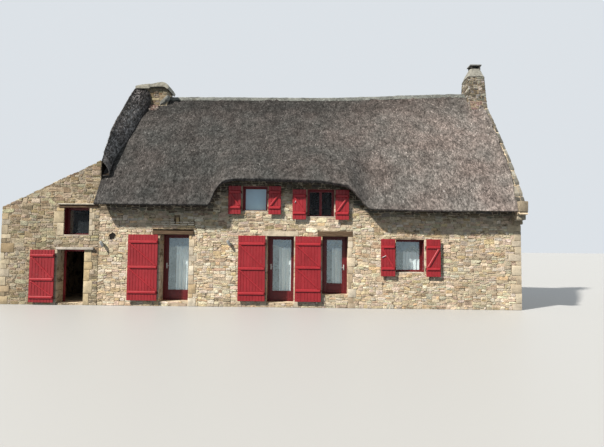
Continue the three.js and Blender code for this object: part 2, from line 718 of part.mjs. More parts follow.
function doorFrame(door) {
  const y0 = FRONT + DOOR_SET;
  const y1 = y0 + FRAME.thick;
  const ring = block(door.west + SEAT, door.east - SEAT, y0, y1, door.bottom + SEAT, door.top - SEAT);
  const x0 = door.west + FRAME.wide;
  const x1 = door.east - FRAME.wide;
  const hole = block(x0, x1, y0 - 10, y1 + 10, door.bottom + FRAME.sill, door.top - FRAME.wide);
  const axis = doorHinge(door);
  const barrels = hingeHeights(door).flatMap((z) => {
    const low = z - HINGE.length - SEAT;
    return [
      upright(axis.x, axis.y, low, low + HINGE.length, HINGE.radius),
      hingePlate(axis, door.hinge, y1 - 5, low),
    ];
  });
  return unite([without(ring, [hole]), ...barrels]);
}

function doorHandle(door, { x0, x1, y0, y1 }) {
  const { height, plateWide, plateTall, plateThick, bar, out, lever, grip } = HANDLE;
  const x = door.hinge > 0 ? x0 + LEAF.stile / 2 : x1 - LEAF.stile / 2;
  const [z0, z1] = [height - bar / 2, height + bar / 2];
  const [wide, tall] = [plateWide / 2, plateTall / 2];
  return [
    block(x - wide, x + wide, y0 - plateThick, y1 + plateThick, height - tall, height + tall),
    block(x - bar / 2, x + bar / 2, y0 - out, y1 + out, z0, z1),
    ...[y0 - out, y1 + out - grip].map((y) => {
      const ends = [x - (door.hinge * bar) / 2, x + door.hinge * lever];
      return block(Math.min(...ends), Math.max(...ends), y, y + grip, z0, z1);
    }),
  ];
}

function doorLeaf(door) {
  const edges = leafEdges(door);
  const { x0, x1, y0, y1, z0, z1 } = edges;
  const { stile, bottomRail, pane } = LEAF;
  const slab = block(x0, x1, y0, y1, z0, z1);
  const light = block(x0 + stile, x1 - stile, y0 - 10, y1 + 10, z0 + bottomRail, z1 - stile);
  const middle = (y0 + y1) / 2;
  const rim = stile - GLASS_REBATE;
  const foot = z0 + bottomRail - GLASS_REBATE;
  const glass = block(x0 + rim, x1 - rim, middle - pane / 2, middle + pane / 2, foot, z1 - rim);
  const axis = doorHinge(door);
  const barrels = hingeHeights(door).flatMap((z) => [
    upright(axis.x, axis.y, z, z + HINGE.length, HINGE.radius),
    hingePlate(axis, -door.hinge, y1 - 5, z),
  ]);
  return unite([without(slab, [light]), glass, ...barrels, ...doorHandle(door, edges)]);
}

function buildDoors() {
  for (const [name, door] of Object.entries(DOORS)) {
    addPiece(`${name}_frame`, doorFrame(door), FRAME_RED);
    addPiece(`${name}_leaf`, doorLeaf(door), RED);
  }
}

// A shutter leaf in its open place, with the pin's axis as its own origin
function shutterLeaf(shutter) {
  const { side, wide, bottom, top, ledges } = shutter;
  const along = (from, to) => [Math.min(side * from, side * to), Math.max(side * from, side * to)];
  const bar = (from, to, y0, y1, z0, z1) => {
    const [x0, x1] = along(from, to);
    return block(x0, x1, y0, y1, z0, z1);
  };
  const near = SHUTTER.edge;
  const far = SHUTTER.edge + wide;
  const back = SHUTTER.overlapBack;
  const face = back - SHUTTER.board;
  const half = SHUTTER.ledgeWide / 2;
  const solids = [bar(near, far, face, back, bottom, top)];
  const [ledgeNear, ledgeFar] = [near + SHUTTER.inset, far - SHUTTER.inset];
  for (const z of ledges)
    solids.push(bar(ledgeNear, ledgeFar, face - SHUTTER.ledge, face + 1, z - half, z + half));
  for (let i = 0; i < ledges.length - 1; i++) {
    const low = ledges[i] + half - 1;
    const high = ledges[i + 1] - half + 1;
    const hingeSide = side * ledgeNear;
    const freeSide = side * ledgeFar;
    const width = side * SHUTTER.brace;
    solids.push(
      frontPrism(
        [[hingeSide, low], [hingeSide + width, low], [freeSide, high], [freeSide - width, high]],
        face - SHUTTER.ledge,
        face + 1,
      ),
    );
  }
  for (const z of [ledges[0], ledges.at(-1)]) {
    const h = PIN.height / 2;
    const s = SHUTTER.strapWide / 2;
    solids.push(bar(4, far * SHUTTER.strapReach, back - 1, back + SHUTTER.strap, z - s, z + s));
    solids.push(bar(0, near + 15, -9, back, z - h, z + h));
    solids.push(upright(0, 0, z - h, z + h, PIN.knuckle));
  }
  const bores = [ledges[0], ledges.at(-1)].map((z) =>
    upright(0, 0, z - PIN.height, z + PIN.height / 2 - 5, PIN.bore),
  );
  return without(unite(solids), bores);
}

function buildShutters() {
  for (const shutter of SHUTTERS) {
    const hang = new THREE.Group();
    hang.position.set(pinX(shutter), FRONT - PIN.out, 0);
    addPiece(shutter.name, shutterLeaf(shutter), RED, hang);
    house.add(hang);
  }
}

function buildLamps() {
  const { plate, bracket, head, near, far } = LAMP;
  for (const [name, [x, z]] of Object.entries(LAMPS)) {
    const wall = FRONT - SEAT;
    const [w, t, b] = [plate.wide / 2, plate.tall / 2, bracket.wide / 2];
    addPiece(
      name,
      unite([
        block(x - w, x + w, wall - plate.thick, wall, z - t, z + t),
        block(x - b, x + b, wall - bracket.out, wall - 5, z - b, z + b),
        frontPrism(head.map(([u, v]) => [x + u, z + v]), FRONT - far, FRONT - near),
      ]),
      METAL,
    );
  }
}

buildFrontWall();
buildUpperFrontWall();
buildLintels();
buildRearWall();
buildWestGableWall();
buildEastGableWall();
buildAnnexFront();
buildAnnexShell();
buildAnnexDoorFrame();
buildFloors();
buildThatch();
buildVergeRolls();
buildRidgeCap();
buildWestChimney();
buildEastChimney();
buildWindows();
buildDoors();
buildShutters();
buildLamps();

export default house;
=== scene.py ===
"""Looks of the thatched cottage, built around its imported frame. Metres, +Z up."""

import itertools
import math

import bpy
import numpy as np
from mathutils import Matrix, Vector


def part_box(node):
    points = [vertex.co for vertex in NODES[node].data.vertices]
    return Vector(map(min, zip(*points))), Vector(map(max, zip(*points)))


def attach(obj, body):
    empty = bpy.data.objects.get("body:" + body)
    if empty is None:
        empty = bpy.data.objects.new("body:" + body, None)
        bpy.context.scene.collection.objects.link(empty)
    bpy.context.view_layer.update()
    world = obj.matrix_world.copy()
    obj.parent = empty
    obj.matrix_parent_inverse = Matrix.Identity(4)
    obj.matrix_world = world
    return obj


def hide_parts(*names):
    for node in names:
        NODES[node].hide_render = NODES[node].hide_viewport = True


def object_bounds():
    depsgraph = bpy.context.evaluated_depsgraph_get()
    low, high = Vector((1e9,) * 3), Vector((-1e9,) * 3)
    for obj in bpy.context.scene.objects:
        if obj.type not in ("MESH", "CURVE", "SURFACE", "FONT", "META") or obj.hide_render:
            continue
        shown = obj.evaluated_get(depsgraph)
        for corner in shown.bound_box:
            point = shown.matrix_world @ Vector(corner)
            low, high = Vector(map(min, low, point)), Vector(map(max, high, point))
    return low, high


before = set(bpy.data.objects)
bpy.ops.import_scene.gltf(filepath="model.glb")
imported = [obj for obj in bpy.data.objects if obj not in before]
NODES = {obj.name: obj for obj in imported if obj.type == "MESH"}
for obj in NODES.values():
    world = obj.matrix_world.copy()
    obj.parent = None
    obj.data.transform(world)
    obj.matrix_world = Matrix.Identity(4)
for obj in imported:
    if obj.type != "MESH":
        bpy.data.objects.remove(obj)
cad_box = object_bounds()

# Driving dimensions, the same as in the part's source
WEST, EAST, FRONT, BACK = -6.9, 6.95, -3.1, 3.1
WALL = 0.6
FLOOR = 0.15
RIDGE = 7.94
RIDGE_RISE = {"height": 0.175, "start": 0.3, "length": 5.9}
EAVE_TOP = 3.56
EAVE_FALL = {"height": 0.13, "start": -3.0, "length": 7.5}
EAVE_REACH = 3.6
EAVE_UNDERCUT = 0.15
THATCH_DROP = 0.48
SLOPE_BULGE = 0.09
THATCH_WEST = WEST + 0.005
VERGE_STONE = 0.295
THATCH_EAST = EAST - VERGE_STONE - 0.0003
BROW = {
    "lift": 0.9, "west": (-3.2, 0.19), "fade": (0.2, 1.2, 0.14), "east": (1.2, 0.85), "top": 0.35,
    "power": 1.5,
}

ANNEX_WEST = -10.16
ANNEX_TOP = (3.215, 4.81)
ANNEX_ROOF = {"below": 0.06, "thick": 0.13}
ANNEX_FLOOR = 0.06
ANNEX_SLAB = {"west": -8.3, "east": -7.04, "bottom": 1.81, "top": 1.9, "out": 0.06}
ANNEX_LINTEL = {"west": -8.265, "east": -6.95, "bottom": 3.205, "top": 3.345, "out": 0.06}

# Openings: west, east, bottom, top, and how far the frame is set back
DOOR_SET = 0.43
DOORS = {
    "door_a": {"west": -4.87, "east": -3.905, "bottom": FLOOR, "top": 2.345, "hinge": 1},
    "door_b": {"west": -1.345, "east": -0.45, "bottom": FLOOR, "top": 2.32, "hinge": 1},
    "door_c": {"west": 0.475, "east": 1.325, "bottom": 0.42, "top": 2.325, "hinge": -1},
}
LINTELS = {
    "door_a": {"kind": "timber", "out": 0.03, "west": 0.25, "east": 0.15},
    "door_b": {"kind": "stone", "out": 0.0, "west": 0.15, "east": 0.15},
    "door_c": {"kind": "timber", "out": 0.0, "west": 0.15, "east": 0.15},
}
LINTEL_HEIGHT = 0.17
# The timber over the first door is thinner than the others, with flat stones above it
THIN_LINTEL = 0.125
WINDOWS = {
    "window_ground": {"west": 2.88, "east": 3.81, "bottom": 1.15, "top": 2.25, "set": 0.33, "mullion": False},
    "window_upper_west": {
        "west": -2.17, "east": -1.34, "bottom": 3.12, "top": 3.97, "set": 0.25, "mullion": False,
    },
    "window_upper_east": {
        "west": -0.03, "east": 0.86, "bottom": 2.95, "top": 3.88, "set": 0.25, "mullion": True,
    },
    "window_annex": {
        "west": -8.085, "east": -7.235, "bottom": 2.275, "top": 3.205, "set": 0.23, "mullion": False,
    },
}
REAR_WINDOWS = {
    "window_rear_west": {
        "west": -3.9, "east": -3.0, "bottom": 1.18, "top": 2.25, "set": 0.25, "mullion": True,
    },
    "window_rear_east": {"west": 2.3, "east": 3.2, "bottom": 1.18, "top": 2.25, "set": 0.25, "mullion": True},
}
ANNEX_DOOR = {"west": -8.26, "east": -7.36, "bottom": ANNEX_FLOOR, "top": 1.81}
NICHE = {"west": -4.42, "east": -4.22, "bottom": 2.66, "top": 2.98}
VENT = {"west": -6.55, "east": -6.37, "bottom": 2.15, "top": 2.41}

FRAME = {"wide": 0.06, "thick": 0.06, "sill": 0.03}
LEAF = {
    "thick": 0.044, "stile": 0.095, "narrow": 0.034, "head": 0.034, "bottom_rail": 0.3, "clear": 0.007,
    "set_back": 0.008,
}
HINGES = {"above_foot": 0.3, "below_head": 0.4, "tall": 0.045}
HANDLE = {"at": 1.3, "half": 0.09, "wide": 0.018, "tint": (0.75, 0.75, 0.74)}
PIN = {"out": 0.06, "side": 0.02}
SHUTTER = {"board": 0.03, "ledge": 0.03, "ledge_wide": 0.095, "brace": 0.08, "edge": 0.016, "inset": 0.015}
SHUTTERS = {
    "shutter_a": (-4.87, -1, 0.985, 0.18, 2.33, (0.45, 1.265, 2.09)),
    "shutter_b": (-1.345, -1, 0.89, 0.2, 2.33, (0.45, 1.25, 2.06)),
    "shutter_c": (0.475, -1, 0.85, 0.2, 2.315, (0.56, 1.3, 2.06)),
    "shutter_ground_west": (2.88, -1, 0.465, 1.05, 2.26, (1.3, 2.0)),
    "shutter_ground_east": (3.81, 1, 0.465, 1.05, 2.26, (1.3, 2.0)),
    "shutter_upper_west_l": (-2.17, -1, 0.415, 3.03, 3.96, (3.25, 3.76)),
    "shutter_upper_west_r": (-1.34, 1, 0.415, 3.03, 3.96, (3.25, 3.76)),
    "shutter_upper_east_l": (-0.03, -1, 0.445, 2.87, 3.86, (3.08, 3.65)),
    "shutter_upper_east_r": (0.86, 1, 0.445, 2.87, 3.86, (3.08, 3.65)),
    "annex_door": (-8.26, -1, 0.82, 0.08, 1.8, (0.25, 0.83, 1.61)),
}

WEST_STACK = {"west": -6.89, "east": -5.65, "half": 0.35, "stones_from": 7.0, "top": 8.25}
HOOD = {
    "half": 0.45,
    "inner": ((-6.36, 8.2), (-6.26, 8.265), (-5.8, 8.27), (-5.66, 8.2)),
    "tip": (-5.6, 8.17),
    "crest": ((-5.575, 8.27), (-5.64, 8.39), (-5.84, 8.475), (-6.3, 8.42), (-6.75, 8.375)),
    "end": ((-6.9, 8.33), (-6.9, 8.2)),
}
EAST_STACK = {
    "middle": 6.6, "half": ((7.0, 0.61), (7.39, 0.61), (7.76, 0.5), (8.75, 0.37)),
    "wide": ((7.76, 0.35), (8.75, 0.32)),
}
RIDGE_CAP = {"half": 0.1, "thick": 0.07, "lip": 0.04, "east": 6.25}
VERGE_RAISE = 0.09
VERGE_ROLL = {
    "d": (0.355, 0.7, 1.3, 1.9, 2.3, 2.6, 2.85, 3.05),
    "wide": (0.59, 0.49, 0.42, 0.345, 0.23, 0.2, 0.21, 0.26),
    "high": (0.7, 0.74, 0.75, 0.79, 0.82, 0.8, 0.7, 0.56),
    "out": (0.11, 0.11, 0.11, 0.11, 0.1, 0.004, 0.004, 0.004),
}
# The roll's sections beside the stack, half-way down and at its open end
ROLL_SECTIONS = (
    (
        (-1, 0), (-1, 0.7), (-0.8, 0.9), (-0.4, 0.98), (0, 1), (0.4, 0.97), (0.7, 0.92), (0.93, 0.78),
        (1, 0.4), (1, 0),
    ),
    (
        (-1, 0), (-1, 0.8), (-0.8, 0.97), (-0.4, 1), (0, 0.93), (0.3, 0.76), (0.55, 0.57), (0.78, 0.36),
        (0.96, 0.12), (1, 0),
    ),
    (
        (-1, 0), (-1, 0.8), (-0.8, 0.95), (-0.4, 1), (0, 0.92), (0.35, 0.76), (0.65, 0.57), (0.9, 0.38),
        (1, 0.2), (1, 0),
    ),
)

# How far the mortar lies behind the faces of the walls
MORTAR = 0.016
# Edges sharper than this, in degrees, stay sharp on a rounded piece
SHARP_ANGLE = 42
# The last stretch of thatch bends down to a crisp edge, and the brow turns up steeply at its west end
EAVE_BEND = {"start": 2.3, "edge": 3.55, "drop": 0.315}
# A stone of a rubble wall has this many corners
STONE_CORNERS = 10
ROLL_STRAWS = 6000
MIDDLE_TINT = (0.5, 0.5, 0.5)


# Random fields


def noise(points, scale, seed):
    """Smooth noise from -1 to 1 at rows of x, y, z; scale is the size of its bumps in metres."""
    table = np.random.default_rng(seed).uniform(-1, 1, (32, 32, 32))
    place = np.asarray(points, float) / scale
    cell = np.floor(place).astype(int)
    part = place - cell
    part = part * part * (3 - 2 * part)
    total = np.zeros(len(place))
    for corner in itertools.product((0, 1), repeat=3):
        weight = np.prod(np.where(corner, part, 1 - part), axis=1)
        at = (cell + corner) % 32
        total += weight * table[at[:, 0], at[:, 1], at[:, 2]]
    return total


def smooth(s):
    s = np.clip(s, 0, 1)
    return s * s * (3 - 2 * s)


def steps(start, end, least, most, rest, rng):
    """Cuts a length into random pieces, none of them shorter than rest."""
    while start < end - 0.02:
        stop = min(start + rng.uniform(least, most), end)
        if end - stop < rest:
            stop = end
        yield start, stop
        start = stop


# Meshes


class Shape:
    """Points, faces and a tint for each point, gathered into one mesh."""

    def __init__(self):
        self.points, self.loops, self.sizes, self.tints, self.marks = [], [], [], [], []
        self.count = 0

    def add_faces(self, corners, start=0, mark=0):
        """Faces with the same number of corners; mark is the number of their material."""
        self.loops.append((corners + start).ravel())
        self.sizes.append(np.full(len(corners), corners.shape[1]))
        self.marks.append(np.full(len(corners), mark))

    def add(self, points, faces, tint=MIDDLE_TINT):
        """faces is one array of corner numbers, or a list of them, one for each number of corners."""
        points = np.asarray(points, float).reshape(-1, 3)
        for group in faces if isinstance(faces, list) else [faces]:
            self.add_faces(group, self.count)
        self.points.append(points)
        self.tints.append(np.broadcast_to(tint, (len(points), 3)))
        self.count += len(points)

    def piece(self, name, materials, slot, body="house", replaces=(), rounded=False):
        mesh = bpy.data.meshes.new(name)
        points = np.concatenate(self.points)
        loops = np.concatenate(self.loops)
        sizes = np.concatenate(self.sizes)
        mesh.vertices.add(len(points))
        mesh.vertices.foreach_set("co", points.astype(np.float32).ravel())
        mesh.loops.add(len(loops))
        mesh.loops.foreach_set("vertex_index", loops.astype(np.int32))
        mesh.polygons.add(len(sizes))
        mesh.polygons.foreach_set("loop_start", np.concatenate([[0], np.cumsum(sizes)[:-1]]).astype(np.int32))
        mesh.polygons.foreach_set("material_index", np.concatenate(self.marks).astype(np.int32))
        mesh.polygons.foreach_set("use_smooth", np.full(len(sizes), rounded))
        mesh.update(calc_edges=True)
        if rounded:
            mesh.set_sharp_from_angle(angle=math.radians(SHARP_ANGLE))
        tint = mesh.color_attributes.new("tint", "FLOAT_COLOR", "POINT")
        colours = np.ones((len(points), 4), np.float32)
        colours[:, :3] = np.concatenate(self.tints)
        tint.data.foreach_set("color", colours.ravel())
        for material in materials:
            mesh.materials.append(material)
        piece = bpy.data.objects.new(name, mesh)
        bpy.context.scene.collection.objects.link(piece)
        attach(piece, body)
        if replaces:
            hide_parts(*replaces)
        return piece


def grid_faces(rows, columns, wrap=False):
    """Quads of a grid of points kept row by row; wrap joins the last column to the first."""
    across = columns if wrap else columns - 1
    i, j = np.meshgrid(np.arange(rows - 1), np.arange(across), indexing="ij")
    k = (j + 1) % columns
    quads = [i * columns + j, i * columns + k, (i + 1) * columns + k, (i + 1) * columns + j]
    return np.stack(quads, axis=-1).reshape(-1, 4)


def tube_faces(rings, around):
    """Quads around a row of closed rings, and a cap on each end."""
    ring = np.arange(around)[None]
    return [grid_faces(rings, around, wrap=True), ring[:, ::-1], ring + (rings - 1) * around]


def grid_normals(points):
    """Unit normals of a grid of points, shape (rows, columns, 3)."""
    across = np.gradient(points, axis=1)
    along = np.gradient(points, axis=0)
    normal = np.cross(across, along)
    return normal / np.maximum(np.linalg.norm(normal, axis=2, keepdims=True), 1e-9)


def inset(outline, distance):
    """A convex outline moved inwards by a distance, corner by corner."""
    points = np.asarray(outline, float)
    ahead = np.roll(points, -1, axis=0) - points
    ahead /= np.linalg.norm(ahead, axis=1, keepdims=True)
    behind = np.roll(ahead, 1, axis=0)
    area = np.sum(points[:, 0] * np.roll(points[:, 1], -1) - np.roll(points[:, 0], -1) * points[:, 1])
    turn = 1 if area > 0 else -1
    normals = turn * np.stack([-ahead[:, 1], ahead[:, 0]], axis=1)
    before = turn * np.stack([-behind[:, 1], behind[:, 0]], axis=1)
    sums = normals + before
    scale = distance / np.maximum(1 + np.sum(normals * before, axis=1), 0.2)
    return points + sums * scale[:, None]


def plate(shape, outline, y0, y1, chamfer=0.003, tint=MIDDLE_TINT, turn=None):
    """A flat piece: an outline of x, z between y0 and y1, with chamfered edges on both faces."""
    outline = np.asarray(outline, float)
    area = np.sum(outline[:, 0] * np.roll(outline[:, 1], -1) - np.roll(outline[:, 0], -1) * outline[:, 1])
    if area < 0:
        outline = outline[::-1]
    small = inset(outline, chamfer)
    count = len(outline)
    rings = [(small, y0), (outline, y0 + chamfer), (outline, y1 - chamfer), (small, y1)]
    points = np.concatenate([np.column_stack([o[:, 0], np.full(count, y), o[:, 1]]) for o, y in rings])
    if turn is not None:
        points = turn(points)
    shape.add(points, [group[:, ::-1] for group in tube_faces(len(rings), count)], tint)


def bar(shape, x0, x1, y0, y1, z0, z1, chamfer=0.003, tint=MIDDLE_TINT, turn=None):
    plate(shape, [(x0, z0), (x1, z0), (x1, z1), (x0, z1)], y0, y1, chamfer, tint, turn)


def rod(shape, start, end, radius, sides=12, tint=MIDDLE_TINT):
    """A round bar with a small chamfer at each end."""
    start, end = np.asarray(start, float), np.asarray(end, float)
    axis = (end - start) / np.linalg.norm(end - start)
    side = np.cross(axis, (0, 0, 1) if abs(axis[2]) < 0.9 else (1, 0, 0))
    side /= np.linalg.norm(side)
    other = np.cross(axis, side)
    angles = np.arange(sides) * 2 * math.pi / sides
    circle = np.cos(angles)[:, None] * side + np.sin(angles)[:, None] * other
    c = radius * 0.2
    rings = [(start, radius - c), (start + axis * c, radius), (end - axis * c, radius), (end, radius - c)]
    points = np.concatenate([centre + circle * r for centre, r in rings])
    shape.add(points, tube_faces(len(rings), sides), tint)


CUBES = {}


def cube_surface(counts):
    """Points in a unit cube and the quads of its surface, with counts segments along each axis."""
    if counts in CUBES:
        return CUBES[counts]
    corners = []
    for axis, end in itertools.product(range(3), (0, 1)):
        u, v = (axis + 1) % 3, (axis + 2) % 3
        for i, j in itertools.product(range(counts[u]), range(counts[v])):
            loop = [(i, j), (i + 1, j), (i + 1, j + 1), (i, j + 1)]
            if end == 0:
                loop.reverse()
            quad = np.zeros((4, 3), int)
            quad[:, axis] = end * counts[axis]
            quad[:, u] = [a for a, _ in loop]
            quad[:, v] = [b for _, b in loop]
            corners.append(quad)
    corners = np.concatenate(corners)
    points, faces = np.unique(corners, axis=0, return_inverse=True)
    CUBES[counts] = (points / np.array(counts), faces.reshape(-1, 4))
    return CUBES[counts]


def rough_block(shape, low, high, rng, tint, rounding=0.02, rough=0.005, step=0.09, turn=None):
    """A hand-dressed stone: a box with rounded, uneven edges and faces, kept inside its box."""
    low, high = np.asarray(low, float), np.asarray(high, float)
    size = high - low
    counts = tuple(int(np.clip(round(s / step), 2, 7)) for s in size)
    unit, faces = cube_surface(counts)
    r = min(rounding, 0.35 * size.min())
    points = unit * size
    # The outermost rows move close to the edges, where the rounding is
    for axis in range(3):
        second = np.isclose(unit[:, axis], 1 / counts[axis])
        last = np.isclose(unit[:, axis], 1 - 1 / counts[axis])
        if counts[axis] > 2:
            points[second, axis] = 1.1 * r
            points[last, axis] = size[axis] - 1.1 * r
    core = np.clip(points, r, size - r)
    away = points - core
    reach = np.linalg.norm(away, axis=1, keepdims=True)
    points = core + away / np.maximum(reach, 1e-9) * np.minimum(reach, r)
    shift = rng.uniform(0, 50, 3)
    bumps = noise(points + shift, 0.13, 5) * rough + noise(points + shift, 0.045, 6) * rough * 0.5
    inward = (size / 2 - points) / np.maximum(size / 2, 1e-9)
    inward = inward * np.abs(inward) ** 3
    inward /= np.maximum(np.linalg.norm(inward, axis=1, keepdims=True), 1e-9)
    points += inward * np.maximum(rough + bumps, 0)[:, None]
    points += low
    if turn is not None:
        points = turn(points)
    shape.add(points, faces, tint)


# Thatch surface


def ridge_height(x):
    return RIDGE + RIDGE_RISE["height"] * smooth((x - RIDGE_RISE["start"]) / RIDGE_RISE["length"])


def eave_height(x):
    return EAVE_TOP - EAVE_FALL["height"] * smooth((x - EAVE_FALL["start"]) / EAVE_FALL["length"])


def brow_lift(x):
    # The rise starts with a crease and eases out towards the windows
    past = np.maximum(x - BROW["west"][0], 0) / BROW["west"][1]
    rise = 1 - np.exp(-(past**2) / (past + 0.4))
    fade_start, fade_length, fade = BROW["fade"]
    fading = fade * smooth((x - fade_start) / fade_length)
    fall = (1 - fade) * smooth((x - BROW["east"][0]) / BROW["east"][1])
    return BROW["lift"] * (rise - fading - fall)


def thatch_top(x, d, brow=True):
    t = d / EAVE_REACH
    plane = ridge_height(x) * (1 - t) + eave_height(x) * t + SLOPE_BULGE * np.sin(np.pi * t)
    if brow:
        plane = plane + brow_lift(x) * np.clip((t - BROW["top"]) / (1 - BROW["top"]), 0, 1) ** BROW["power"]
    return plane


def eave_sag(d):
    """How far the thatch sinks towards its edge, d metres out from the ridge."""
    share = np.maximum(0.0, (d - EAVE_BEND["start"]) / (EAVE_BEND["edge"] - EAVE_BEND["start"]))
    return EAVE_BEND["drop"] * share**2


def annex_top(x):
    return ANNEX_TOP[0] + (ANNEX_TOP[1] - ANNEX_TOP[0]) * (x - ANNEX_WEST) / (WEST - ANNEX_WEST)


def annex_under(x):
    """The underside of the lean-to roof, where its walls end."""
    return annex_top(x) - ANNEX_ROOF["below"] - ANNEX_ROOF["thick"] - 0.004


# Materials


class Nodes:
    """Short names for making a material's nodes."""

    def __init__(self, name, roughness=0.9, metallic=0.0, specular=0.3):
        self.material = bpy.data.materials.new(name)
        self.material.use_nodes = True
        self.tree = self.material.node_tree
        self.shader = self.tree.nodes["Principled BSDF"]
        self.shader.inputs["Roughness"].default_value = roughness
        self.shader.inputs["Metallic"].default_value = metallic
        self.shader.inputs["Specular IOR Level"].default_value = specular

    def add(self, kind, **settings):
        node = self.tree.nodes.new(kind)
        for key, value in settings.items():
            setattr(node, key, value)
        return node

    def link(self, source, target):
        self.tree.links.new(source, target)

    def place(self, stretch=(1, 1, 1)):
        coordinates = self.add("ShaderNodeTexCoord")
        mapping = self.add("ShaderNodeMapping")
        mapping.inputs["Scale"].default_value = stretch
        self.link(coordinates.outputs["Object"], mapping.inputs["Vector"])
        return mapping.outputs["Vector"]

    def cloud(self, size, detail=4, rough=0.6, stretch=(1, 1, 1)):
        """Noise from 0 to 1 with blotches about size metres wide."""
        node = self.add("ShaderNodeTexNoise")
        node.inputs["Scale"].default_value = 1 / size
        node.inputs["Detail"].default_value = detail
        node.inputs["Roughness"].default_value = rough
        self.link(self.place(stretch), node.inputs["Vector"])
        return node.outputs["Fac"]

    def ramp(self, value, *stops):
        """A colour ramp through (position, colour) stops; a number stands for a grey."""
        node = self.add("ShaderNodeValToRGB")
        points = node.color_ramp.elements
        while len(points) < len(stops):
            points.new(1.0)
        for point, (position, colour) in zip(points, stops):
            point.position = position
            point.color = (*colour, 1) if isinstance(colour, tuple) else (colour, colour, colour, 1)
        self.link(value, node.inputs["Fac"])
        return node.outputs["Color"]

    def mix(self, first, second, amount, blend="MIX"):
        node = self.add("ShaderNodeMix", data_type="RGBA", blend_type=blend)
        for source, socket in ((amount, node.inputs[0]), (first, node.inputs[6]), (second, node.inputs[7])):
            if isinstance(source, bpy.types.NodeSocket):
                self.link(source, socket)
            elif isinstance(source, tuple):
                socket.default_value = (*source, 1)
            else:
                socket.default_value = source
        return node.outputs[2]

    def times(self, colour, size, detail, rough, *stops, stretch=(1, 1, 1)):
        """The colour multiplied by clouds that run through a ramp."""
        return self.mix(colour, self.ramp(self.cloud(size, detail, rough, stretch), *stops), 1.0, "MULTIPLY")

    def patch(self, colour, over, share, size, detail, rough, low, high):
        """Another colour laid over a share of the first, where the clouds rise from low to high."""
        node = self.add("ShaderNodeMath", operation="MULTIPLY")
        self.link(self.ramp(self.cloud(size, detail, rough), (low, 0.0), (high, 1.0)), node.inputs[0])
        node.inputs[1].default_value = share
        return self.mix(colour, over, node.outputs[0])

    def tint(self):
        return self.add("ShaderNodeAttribute", attribute_name="tint").outputs["Color"]

    def bump(self, height, distance, strength=1.0, after=None):
        node = self.add("ShaderNodeBump")
        node.inputs["Distance"].default_value = distance
        node.inputs["Strength"].default_value = strength
        self.link(height, node.inputs["Height"])
        if after is not None:
            self.link(after, node.inputs["Normal"])
        return node.outputs["Normal"]

    def finish(self, colour, normal=None, roughness=None):
        self.link(colour, self.shader.inputs["Base Color"])
        if normal is not None:
            self.link(normal, self.shader.inputs["Normal"])
        if roughness is not None:
            self.link(roughness, self.shader.inputs["Roughness"])
        return self.material


def stone_material():
    n = Nodes("rubble_stone", roughness=0.93, specular=0.2)
    colour = n.times(n.tint(), 0.09, 5, 0.65, (0.3, 0.55), (0.5, 1.0), (0.72, 1.25))
    colour = n.times(colour, 0.012, 3, 0.7, (0.3, 0.72), (0.5, 1.0), (0.72, 1.25))
    lichen, stain = (0.5, 0.49, 0.42), (0.34, 0.23, 0.13)
    colour = n.patch(colour, lichen, 0.55, 0.22, 6, 0.72, 0.6, 0.68)
    colour = n.patch(colour, stain, 0.3, 0.35, 5, 0.7, 0.6, 0.72)
    normal = n.bump(n.cloud(0.016, 4, 0.7), 0.006)
    normal = n.bump(n.cloud(0.05, 6, 0.72), 0.026, 1.0, normal)
    return n.finish(colour, normal)


def mortar_material(name, low, middle, high):
    n = Nodes(name, roughness=0.96, specular=0.15)
    colour = n.ramp(n.cloud(0.25, 6, 0.7), (0.3, low), (0.5, middle), (0.7, high))
    colour = n.times(colour, 0.01, 3, 0.8, (0.3, 0.7), (0.55, 1.05))
    # Here and there dark patches are painted as the shade of crevices where the mortar is missing
    colour = n.patch(colour, (0.09, 0.065, 0.04), 0.85, 0.3, 5, 0.78, 0.5, 0.58)
    return n.finish(colour, n.bump(n.cloud(0.02, 6, 0.75), 0.006))


def block_material():
    n = Nodes("dressed_stone", roughness=0.9, specular=0.2)
    colour = n.times(n.tint(), 0.16, 6, 0.65, (0.3, 0.68), (0.55, 1.05), (0.75, 1.2))
    colour = n.times(colour, 0.007, 2, 0.8, (0.32, 0.6), (0.5, 1.0), (0.7, 1.2))
    return n.finish(colour, n.bump(n.cloud(0.02, 6, 0.7), 0.004))


def thatch_material():
    n = Nodes("reed_thatch", roughness=0.97, specular=0.1)
    # Mottles, tufts, changes of hue and streaks
    colour = n.times(n.tint(), 0.065, 4, 0.8, (0.36, 0.4), (0.5, 0.96), (0.64, 1.65), stretch=(1, 0.6, 0.6))
    colour = n.times(colour, 0.2, 3, 0.6, (0.36, 0.74), (0.64, 1.28), stretch=(1, 0.7, 0.7))
    colour = n.times(colour, 1.1, 3, 0.5, (0.35, (0.96, 1.01, 1.0)), (0.65, (1.05, 1.0, 0.97)))
    colour = n.times(colour, 0.014, 3, 0.7, (0.3, 0.55), (0.5, 1.0), (0.7, 1.5), stretch=(1, 0.25, 0.25))
    normal = n.bump(n.cloud(0.012, 3, 0.7, (1, 0.15, 0.15)), 0.012)
    normal = n.bump(n.cloud(0.06, 5, 0.7, (1, 0.5, 0.5)), 0.03, 1.0, normal)
    return n.finish(colour, normal)


def cement_material():
    n = Nodes("weathered_cement", roughness=0.92, specular=0.2)
    colour = n.times(n.tint(), 0.12, 6, 0.72, (0.28, 0.35), (0.5, 0.9), (0.7, 1.25))
    lichen, moss = (0.62, 0.64, 0.55), (0.12, 0.1, 0.06)
    colour = n.patch(colour, lichen, 0.5, 0.05, 6, 0.75, 0.56, 0.64)
    colour = n.patch(colour, moss, 0.6, 0.2, 5, 0.7, 0.6, 0.7)
    return n.finish(colour, n.bump(n.cloud(0.03, 6, 0.75), 0.012))


